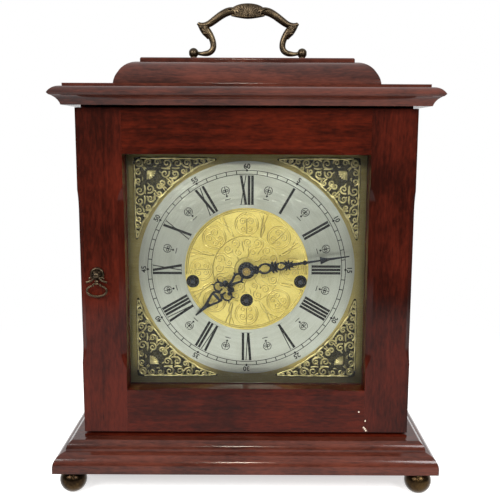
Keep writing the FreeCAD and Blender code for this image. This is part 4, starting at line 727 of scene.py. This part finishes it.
LOBES = [(1.0, 0.4), (8.0, -0.2), (14.0, 0.5), (22.0, -0.2), (30.0, 0.5), (38.0, -0.1), (46.0, 0.5),
         (54.0, 0.0), (61.0, 0.5), (66.6, 0.9), (67.0, 2.6), (62.0, 4.6), (57.4, 6.6), (52.0, 7.2),
         (48.6, 10.4), (46.0, 12.8), (42.4, 13.4), (40.6, 16.8), (37.0, 18.8), (33.2, 20.6),
         (32.4, 23.6), (29.2, 26.0)]


def filled(points, thick):
    """A flat shape with a smooth closed edge through its control points, cut from sheet."""
    data = bpy.data.curves.new("filled", "CURVE")
    data.dimensions = "2D"
    data.fill_mode = "BOTH"
    data.extrude = thick / 2
    spline = data.splines.new("NURBS")
    spline.points.add(len(points) - 1)
    for point, (u, v) in zip(spline.points, points):
        point.co = (u * MM, v * MM, 0.0, 1.0)
    spline.order_u = 3
    spline.use_cyclic_u = True
    return curve_mesh(data)


# A dark sheet with the casting's lobed outline: painted shade that shows between the scrolls.
ground = drawn(filled(LOBES + [(v, u) for u, v in reversed(LOBES)], 0.9 * MM))
castings, shade_sheets = bmesh.new(), bmesh.new()
to_corner = Matrix.Translation((-SPANDREL_REACH * MM, -SPANDREL_REACH * MM, 0))
for quarter in range(4):
    place = Matrix.Rotation(quarter * math.pi / 2, 4, "Z") @ to_corner
    add_form(castings, corner, place)
    add_form(shade_sheets, ground, place)
corner.free()
ground.free()
spandrel_low, spandrel_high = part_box("spandrels")
bmesh.ops.transform(castings, verts=castings.verts, matrix=upright(spandrel_low.y + 0.5 * MM))
piece("corner_castings", castings, cast_brass, "case")
bmesh.ops.transform(shade_sheets, verts=shade_sheets.verts, matrix=upright(spandrel_high.y - 0.55 * MM))
plates = piece("corner_painted_shade", shade_sheets, spandrel_painted_shade, "case", smooth=False)
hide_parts("spandrels")

# %% [markdown]
# The golden centre is engraved all over: eight round medallions near its edge, each with a rosette
# of curls, leaf sprays between them, and a wreath of scrolls round the hands. The cuts are drawn as
# raised lines, twice: a dark copy that is painted shade of the cut, with the patina that gathers in
# it, and a bright copy a hair's width above and to the left that is a painted highlight on its lit
# edge.

# %% Engraved centre
EIGHTH = [
    scroll((0.0, 37.0), 9.6, 9.4, 1.0, 90, 1, 0.36, 30),
    scroll((0.0, 37.0), 8.2, 8.0, 1.0, 90, 1, 0.22, 30),
    scroll((-3.0, 39.4), 3.6, 0.6, 1.6, 0, 1, 0.34, 16),
    scroll((3.0, 39.4), 3.6, 0.6, 1.6, 180, -1, 0.34, 16),
    scroll((-2.6, 33.4), 3.0, 0.5, 1.5, 20, -1, 0.32, 16),
    scroll((2.6, 33.4), 3.0, 0.5, 1.5, 160, 1, 0.32, 16),
    [(0.0, 29.6, 0.5), (0.0, 33.0, 0.2), (0.0, 38.0, 0.5), (0.0, 44.4, 0.2)],
    [(14.2, 46.6, 0.2), (13.0, 40.0, 0.45), (12.2, 34.0, 0.45), (11.2, 27.0, 0.2)],
    [(17.4, 44.8, 0.2), (14.6, 38.0, 0.5), (11.2, 32.0, 0.4), (11.4, 26.6, 0.2)],
    [(10.4, 45.6, 0.2), (12.8, 39.0, 0.4), (15.6, 34.0, 0.4), (11.6, 26.0, 0.2)],
    scroll((8.6, 21.8), 4.4, 0.7, 1.6, 250, 1, 0.36, 16),
    scroll((1.0, 22.4), 4.0, 0.7, 1.6, 300, -1, 0.34, 16),
    scroll((5.4, 14.2), 3.2, 0.5, 1.5, 80, 1, 0.32, 14),
    [(0.0, 9.0, 0.3), (2.6, 12.6, 0.5), (0.6, 17.4, 0.3), (3.6, 19.6, 0.2)],
    [(9.2, 12.4, 0.2), (11.4, 16.6, 0.5), (14.2, 19.0, 0.3), (13.0, 24.6, 0.2)],
]
RIMS = (49.2, 47.9, 27.4, 9.6)
WINDING = ((-44.0, -10.0), (0.0, -25.6), (44.0, -10.0))
HOLE_CLEAR = 6.1 * MM
HAIR = 0.35 * MM


def centre_lines(thick):
    """The whole engraving, eight turns of one part, left out round the winding holes."""
    eighth = drawn(strokes([[(u, v, r * thick) for u, v, r in line] for line in EIGHTH],
                           round_steps=1))
    press(eighth, -0.1 * MM, 0.14 * MM)
    whole = bmesh.new()
    for count in range(8):
        add_form(whole, eighth, Matrix.Rotation(count * math.pi / 4, 4, "Z"))
    eighth.free()
    for radius in RIMS:
        ring(whole, (0, 0), radius * MM, 0.4 * MM * thick, 0.2 * MM, steps=72)
    near = [vert for vert in whole.verts
            if min((vert.co.xy - Vector(hole) * MM).length for hole in WINDING) < HOLE_CLEAR]
    bmesh.ops.delete(whole, geom=near, context="VERTS")
    bmesh.ops.holes_fill(whole, edges=[edge for edge in whole.edges if edge.is_boundary])
    bmesh.ops.delete(whole, geom=[edge for edge in whole.edges if not edge.link_faces],
                     context="EDGES")
    return whole


# The dark copy: painted shade of the cut, with the patina that gathers in it.
engraved = centre_lines(1.0)
bmesh.ops.transform(engraved, verts=engraved.verts,
                    matrix=upright(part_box("dial_centre")[0].y + 0.03 * MM))
piece("engraving_painted_shade", engraved, gilt_painted_shade, "case")
# The bright copy, a hair above and to the left towards the lamp: a painted highlight on the cut's
# lit edge.
highlight_copy = centre_lines(0.75)
bmesh.ops.transform(highlight_copy, verts=highlight_copy.verts,
                    matrix=upright(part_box("dial_centre")[0].y, -HAIR, DIAL_Z + HAIR))
piece("engraving_painted_highlight", highlight_copy, gilt_painted_highlight, "case")

# %% [markdown]
# The hands are sawn and filed from steel sheet and blued. Each is drawn along v with its hub at
# the origin: strokes for the pierced loops, small discs and bars for the solid knots, all pressed
# to the thickness of the sheet. Then it is turned to the time on the clock and set at the height of
# the solid hand that it stands for.

# %% Pierced hands
def mirrored_lines(lines):
    return lines + [[(-u, v, radius) for u, v, radius in line] for line in lines]


def finish_hand(form, node, body, clockwise):
    """Presses a hand to its sheet, turns it to its time and sets it at its solid's height."""
    low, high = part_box(node)
    half = (high.y - low.y) / 2
    press(form, -half, half)
    bmesh.ops.transform(form, verts=form.verts, matrix=upright((low.y + high.y) / 2)
                        @ turned(clockwise))
    item = piece(node + "_pierced", form, blue_steel, body)
    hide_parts(node)


HOUR_TURN, MINUTE_TURN = 228.0, 81.4
SHEET = 0.8 * MM
hour_lines = mirrored_lines([
    [(1.2, 5.0, 0.9), (2.9, 7.4, 1.0), (3.7, 9.4, 1.0), (2.2, 12.6, 0.95), (0.9, 16.4, 1.2),
     (0.8, 19.0, 1.5)],
    [(3.2, 9.2, 1.0), (4.6, 9.6, 0.8), (5.8, 8.4, 0.4)],
    [(1.2, 20.8, 1.4), (2.6, 21.8, 1.2), (6.0, 21.8, 0.8), (9.0, 24.0, 0.8), (9.2, 27.4, 0.75),
     (6.0, 29.8, 0.75), (2.6, 29.0, 0.8), (1.4, 27.0, 0.8), (2.2, 24.6, 0.75)],
    [(8.4, 23.4, 0.9), (9.9, 22.6, 0.5), (10.6, 22.0, 0.3)],
    [(9.0, 27.6, 0.8), (10.2, 28.4, 0.4), (10.8, 29.0, 0.3)],
    [(0.4, 28.4, 1.0), (2.6, 29.4, 0.9), (4.7, 32.0, 0.9), (3.8, 36.0, 0.95), (2.0, 40.0, 1.1),
     (0.9, 44.0, 1.1)],
    [(4.3, 31.4, 0.9), (5.4, 31.8, 0.4)],
    [(4.2, 33.4, 0.9), (2.4, 32.6, 1.1), (0.0, 32.8, 1.2)],
])
hour_form = drawn(strokes(hour_lines, round_steps=3))
for u, v, radius in ((3.7, 19.8, 2.3), (-3.7, 19.8, 2.3), (4.9, 23.2, 1.7), (-4.9, 23.2, 1.7),
                     (0.0, 19.2, 1.6)):
    disc(hour_form, (u * MM, v * MM), radius * MM, SHEET)
bar(hour_form, (0, 17.0 * MM), (0, 19.0 * MM), 3.0 * MM, SHEET)
bar(hour_form, (-3.4 * MM, 19.6 * MM), (3.4 * MM, 19.6 * MM), 2.4 * MM, SHEET)
bar(hour_form, (0, 41.0 * MM), (0, 55.8 * MM), 4.0 * MM, SHEET, 1.1 * MM)
ring(hour_form, (0, 0), 5.0 * MM, 4.0 * MM, SHEET)
finish_hand(hour_form, "hour_hand", "hour_work", HOUR_TURN)

minute_lines = mirrored_lines([
    [(1.4, 4.6, 1.4), (2.2, 6.6, 1.4), (1.6, 8.6, 1.4), (1.2, 10.4, 1.2)],
    [(2.0, 7.6, 1.2), (3.6, 8.4, 0.5)],
    [(1.2, 10.2, 1.2), (3.2, 11.6, 0.9), (3.9, 14.8, 0.8), (3.2, 17.8, 0.95), (1.6, 19.6, 1.4)],
    [(1.4, 20.8, 1.7), (3.0, 21.4, 1.3), (4.9, 21.6, 0.4)],
    [(1.2, 22.6, 1.6), (3.2, 23.6, 0.9), (4.5, 24.8, 0.35)],
    [(1.2, 24.4, 1.3), (2.7, 26.2, 0.8), (2.9, 28.6, 0.8), (1.8, 31.0, 0.95), (0.8, 32.4, 1.2)],
    [(0.8, 33.0, 1.4), (2.4, 32.6, 1.0), (4.4, 31.4, 0.35)],
    [(0.8, 34.2, 1.3), (2.8, 34.4, 0.9), (4.5, 35.0, 0.3)],
    [(0.6, 35.2, 1.2), (1.8, 36.6, 0.8), (2.8, 38.2, 0.3)],
])
minute_form = drawn(strokes(minute_lines, round_steps=3))
for v, radius in ((8.0, 2.4), (21.6, 2.9), (23.4, 2.1), (33.8, 2.4), (47.4, 1.9)):
    disc(minute_form, (0, v * MM), radius * MM, SHEET)
bar(minute_form, (0, 34.0 * MM), (0, 47.0 * MM), 3.0 * MM, SHEET, 1.8 * MM)
bar(minute_form, (0, 46.0 * MM), (0, 61.0 * MM), 2.2 * MM, SHEET, 1.3 * MM)
bar(minute_form, (0, 59.8 * MM), (0, 66.4 * MM), 6.0 * MM, SHEET, 2.2 * MM)
bar(minute_form, (0, 66.0 * MM), (0, 83.4 * MM), 2.0 * MM, SHEET, 0.9 * MM)
ring(minute_form, (0, 0), 3.6 * MM, 3.8 * MM, SHEET)
finish_hand(minute_form, "minute_hand", "centre_arbor", MINUTE_TURN)

# %% [markdown]
# The carrying handle is a casting with leafy knees and a scallop shell at the top. Its bars are
# strokes of changing thickness through measured points, one half mirrored to the other, u from the
# middle and v up from the pivot. The shell is a fan of ribs over a dome, and two ridges cross each
# knee. Fan and ridges stand out to the front and again to the back.

# %% Carrying handle
FOOT = [(-43.6, 0.0, 1.5), (-40.2, -0.8, 1.5), (-36.4, -0.6, 2.3), (-32.4, 0.1, 2.5),
        (-29.2, 3.3, 2.6), (-29.2, 8.5, 2.6), (-31.2, 13.7, 2.8), (-34.4, 18.3, 3.2),
        (-36.6, 21.7, 2.6), (-38.4, 23.7, 1.4)]
ARM = [(-42.2, 24.4, 1.4), (-40.6, 22.9, 2.0), (-36.6, 22.5, 2.5), (-32.6, 23.7, 2.9),
       (-27.4, 27.5, 3.2), (-22.2, 31.3, 3.3), (-17.0, 33.9, 3.5), (-12.0, 34.6, 3.3),
       (-8.0, 33.9, 2.2)]
KNEE = [(-41.6, 22.9, 1.0), (-39.0, 20.4, 2.5), (-35.8, 17.6, 3.6), (-33.6, 13.8, 2.4),
        (-33.2, 11.6, 1.2)]
CURL = [(-18.0, 35.5, 0.8), (-14.0, 36.1, 1.3), (-11.0, 33.7, 1.2), (-10.4, 30.9, 0.7)]
RIDGES = [[(-41.0, 20.9, 0.6), (-37.6, 19.1, 0.9), (-33.4, 20.1, 0.7)],
          [(-38.4, 15.7, 0.6), (-35.0, 15.9, 0.9), (-31.6, 14.7, 0.6)], CURL]
handle_low, handle_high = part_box("handle_bail")
handle_y = (handle_low.y + handle_high.y) / 2
HANDLE_PIVOT_Z = 0.3480
handle = drawn(strokes(mirrored_lines([FOOT, ARM, KNEE]), round_steps=4))
FAN_ROOT_V, FAN_WIDE, FAN_HIGH, RIB_STEP = 29.1, 14.2, 11.0, 11.5
ribs = []
for step in range(-7, 8):
    lean = math.radians(step * RIB_STEP)
    tip_u, tip_v = math.sin(lean) * FAN_WIDE, FAN_ROOT_V + 0.2 + math.cos(lean) * FAN_HIGH
    root = step * 0.45
    ribs.append([(root, FAN_ROOT_V, 0.6),
                 (root + (tip_u - root) * 0.5, FAN_ROOT_V + (tip_v - FAN_ROOT_V) * 0.55, 1.25),
                 (tip_u, tip_v, 0.9)])
raised = drawn(strokes(ribs))
for corner in raised.verts:
    corner.co.z += 2.0 * MM * (1.0 - (corner.co.x / (16 * MM)) ** 2)
    corner.co.z -= 1.6 * MM * max(0.0, (corner.co.y - 36.5 * MM) / (4.5 * MM))
ridges = drawn(strokes(mirrored_lines(RIDGES)))
bmesh.ops.translate(ridges, verts=ridges.verts, vec=(0, 0, 2.2 * MM))
add_form(raised, ridges, Matrix.Identity(4))
ridges.free()
for half_turn in (0.0, math.pi):
    add_form(handle, raised, Matrix.Rotation(half_turn, 4, "Y"))
raised.free()
dome = bmesh.ops.create_uvsphere(handle, u_segments=32, v_segments=16, radius=1.0)["verts"]
bmesh.ops.transform(handle, verts=dome, matrix=Matrix.Translation((0, 34.4 * MM, 0))
                    @ Matrix.Diagonal((14.6 * MM, 6.4 * MM, 2.6 * MM, 1.0)))
PIN_RADIUS, PIN_LONG = 1.2 * MM, 8 * MM
for side in (-1, 1):
    pin = bmesh.ops.create_cone(handle, cap_ends=True, segments=20, radius1=PIN_RADIUS,
                                radius2=PIN_RADIUS, depth=PIN_LONG)["verts"]
    pin_middle = Matrix.Translation((side * (handle_high.x - PIN_LONG / 2), 0, 0))
    bmesh.ops.transform(handle, verts=pin,
                        matrix=pin_middle @ Matrix.Rotation(math.pi / 2, 4, "Y"))
press(handle, handle_low.y - handle_y, handle_high.y - handle_y)
bmesh.ops.transform(handle, verts=handle.verts, matrix=upright(handle_y, 0.0, HANDLE_PIVOT_Z))
bail = piece("handle_casting", handle, bronze, "carrying_handle")
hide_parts("handle_bail")

# %% [markdown]
# Behind each winding hole stands a short black tube, painted shade that makes the hole read dark,
# and the end of the winding arbor stands in it. A tube is spun from its wall's section, with a
# stepped lip inside and a thin black collar on the golden centre, painted shade that widens the
# hole.

# %% Painted shade in the winding holes
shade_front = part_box("dial_plate")[0].y + 1.6 * MM
COLLAR_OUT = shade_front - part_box("dial_centre")[0].y + PROUD
hole_shades, shade_collars = bmesh.new(), bmesh.new()
# Each hole gets a black tube and a black collar: painted shade that makes the hole dark.
for u, v in WINDING:
    ring(hole_shades, (u * MM, v * MM), 4.35 * MM, 0.7 * MM, 3.0 * MM, steps=32)
    ring(hole_shades, (u * MM, v * MM), 3.45 * MM, 2.0 * MM, 0.4 * MM, steps=32)
    ring(shade_collars, (u * MM, v * MM), 4.7 * MM, 1.2 * MM, 0.12 * MM, steps=32)
add_form(hole_shades, shade_collars, Matrix.Translation((0, 0, COLLAR_OUT)))
shade_collars.free()
bmesh.ops.transform(hole_shades, verts=hole_shades.verts, matrix=upright(shade_front))
piece("winding_hole_shades", hole_shades, black_wax_and_shade, "case")

# %% [markdown]
# The door's pull is a small drop: an arched rose on the door, and a hanging piece with two curled
# arms and an oval loop to take a finger tip. Both are strokes again, the rose fixed to the door and
# the drop on its own pivot.

# %% Door pull
pull_low, pull_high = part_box("pull_ring")
pull_x, pull_y = (pull_low.x + pull_high.x) / 2, (pull_low.y + pull_high.y) / 2
PULL_Z = 0.1727
ARCH, LOOP_WIDE, LOOP_HIGH, LOOP_DROP = 4.4, 7.7, 4.4, 12.4
arch = [(ARCH * math.cos(math.radians(a)), ARCH * math.sin(math.radians(a)), 1.25)
        for a in range(-40, 221, 20)]
rose = drawn(strokes([arch, [(-2.6, 1.4, 0.9), (0.0, 2.6, 1.0), (2.6, 1.4, 0.9)]], round_steps=3))
disc(rose, (0, 0), 4.0 * MM, 0.8 * MM)
press(rose, -0.6 * MM, 1.3 * MM)
bmesh.ops.transform(rose, verts=rose.verts,
                    matrix=upright(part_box("door_stile_left")[0].y - 0.55 * MM, pull_x, PULL_Z))
piece("pull_rose", rose, bronze, "front_door")
loop = [(LOOP_WIDE * math.cos(math.radians(a)), LOOP_HIGH * math.sin(math.radians(a)) - LOOP_DROP,
         0.95 if 200 < a < 340 else 0.8) for a in range(118, 423, 16)]
drop_lines = [loop,
              [(-2.4, -8.6, 0.8), (-3.4, -7.4, 0.7), (-1.6, -6.8, 0.5)],
              [(2.4, -8.6, 0.8), (3.4, -7.4, 0.7), (1.6, -6.8, 0.5)],
              [(-8.0, -5.6, 0.9), (-5.6, -5.2, 0.8), (-3.2, -4.0, 0.9), (-1.4, -1.0, 0.9),
               (0.0, 0.6, 0.9), (1.4, -1.0, 0.9), (3.2, -4.0, 0.9), (5.6, -5.2, 0.8),
               (8.0, -5.6, 0.9)],
              [(-1.3, -4.6, 0.9), (0.0, -5.6, 1.0), (1.3, -4.6, 0.9)],
              [(-3.6, -2.0, 0.5), (-5.2, -1.8, 0.9), (-5.8, -3.2, 0.6)],
              [(3.6, -2.0, 0.5), (5.2, -1.8, 0.9), (5.8, -3.2, 0.6)],
              [(-1.4, -6.6, 0.9), (0.0, -7.4, 0.9), (1.4, -6.6, 0.9)]]
drop = drawn(strokes(drop_lines, round_steps=3))
bmesh.ops.transform(drop, verts=drop.verts, matrix=upright(pull_y, pull_x, PULL_Z))
hanging = piece("pull_drop", drop, bronze, "drop_ring")
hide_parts("pull_ring")

# %% [markdown]
# The clock stands on a white sheet. The floor and the backdrop are white to the camera, and the
# floor keeps the clock's shadow. Polished wood and metal mirror the sheet near the clock as white
# and the dim room beyond it, which is why the lower half of the dial is brighter than the top.

# %% Floor and backdrop
def studio_white():
    """To the camera white with the clock's shadow, in reflections white only near the clock."""
    white = Finish("studio_white", Roughness=0.9, Specular_IOR_Level=0.0)
    grain = white.noise(white.place, 30.0)
    white.set(Base_Color=white.blend(grain, colour(232, 232, 232), colour(238, 238, 238)))
    reach = (white.x * white.x + white.y * white.y) ** 0.5

    def light(strength):
        return white.node("ShaderNodeEmission", {}, {"Color": (1.0, 1.0, 1.0, 1.0),
                                                     "Strength": strength})

    def mixed(amount, first, second):
        return white.node("ShaderNodeMixShader", {}, {0: amount, 1: first, 2: second})

    paper = Socket(white, white.shader.outputs[0])
    shaded = white.node("ShaderNodeAddShader", {}, {0: paper, 1: light(0.6)})
    seen = mixed(white.rise(reach, 0.55, 0.22), light(1.0), shaded)
    mirrored = mixed(white.rise(reach, 0.85, 0.62), light(0.1), light(1.3))
    ray = [white.node("ShaderNodeLightPath", {}, {}, f"Is {kind} Ray")
           for kind in ("Camera", "Glossy")]
    final = mixed(ray[0], mixed(ray[1], paper, mirrored), seen)
    white.tree.links.new(final.output, white.tree.nodes["Material Output"].inputs[0])
    return white.material


floor_form = bmesh.new()
edge = bmesh.ops.create_grid(floor_form, x_segments=1, y_segments=1, size=4.0)["verts"]
bmesh.ops.translate(floor_form, verts=edge, vec=(0, 0, -0.0002))
floor_mesh = bpy.data.meshes.new("floor")
floor_form.to_mesh(floor_mesh)
floor_form.free()
floor_mesh.materials.append(studio_white())
floor = bpy.data.objects.new("floor", floor_mesh)
scene.collection.objects.link(floor)
print("floor:", floor.name)

# %% [markdown]
# The world lights the clock softly from above and leaves the room dim at the height of the clock.
# The camera sees it white. Mirrored and transmitted rays see white only behind the clock, where
# the backdrop stands.

# %% World
world = bpy.data.worlds.new("studio")
scene.world = world
world.use_nodes = True
sky = world.node_tree


def sky_node(kind, settings, inputs, output=0):
    item = sky.nodes.new(kind)
    for key, value in settings.items():
        setattr(item, key, value)
    for key, value in inputs.items():
        if isinstance(value, bpy.types.NodeSocket):
            sky.links.new(value, item.inputs[key])
        else:
            item.inputs[key].default_value = value
    return item.outputs[output]


way = sky_node("ShaderNodeTexCoord", {}, {}, "Generated")
way_y = sky_node("ShaderNodeSeparateXYZ", {}, {0: way}, "Y")
way_z = sky_node("ShaderNodeSeparateXYZ", {}, {0: way}, "Z")
room = sky_node("ShaderNodeMapRange", {}, {"Value": way_z, "From Min": 0.2, "To Min": 0.12,
                                           "To Max": 1.15})
behind = sky_node("ShaderNodeMapRange", {}, {"Value": way_y, "From Min": 0.0, "From Max": 0.3})
ray = sky.nodes.new("ShaderNodeLightPath")
mirrored_ray = sky_node("ShaderNodeMath", {"operation": "MAXIMUM"},
                        {0: ray.outputs["Is Glossy Ray"], 1: ray.outputs["Is Transmission Ray"]})
backdrop = sky_node("ShaderNodeMath", {"operation": "MULTIPLY"}, {0: mirrored_ray, 1: behind})
white_ray = sky_node("ShaderNodeMath", {"operation": "MAXIMUM"},
                     {0: ray.outputs["Is Camera Ray"], 1: backdrop})
strength = sky_node("ShaderNodeMix", {"data_type": "FLOAT"}, {0: white_ray, 2: room, 3: 1.0})
sky.links.new(strength, sky.nodes["Background"].inputs["Strength"])
sky.nodes["Background"].inputs["Color"].default_value = (1.0, 1.0, 1.0, 1.0)
print("world set:", world.name)
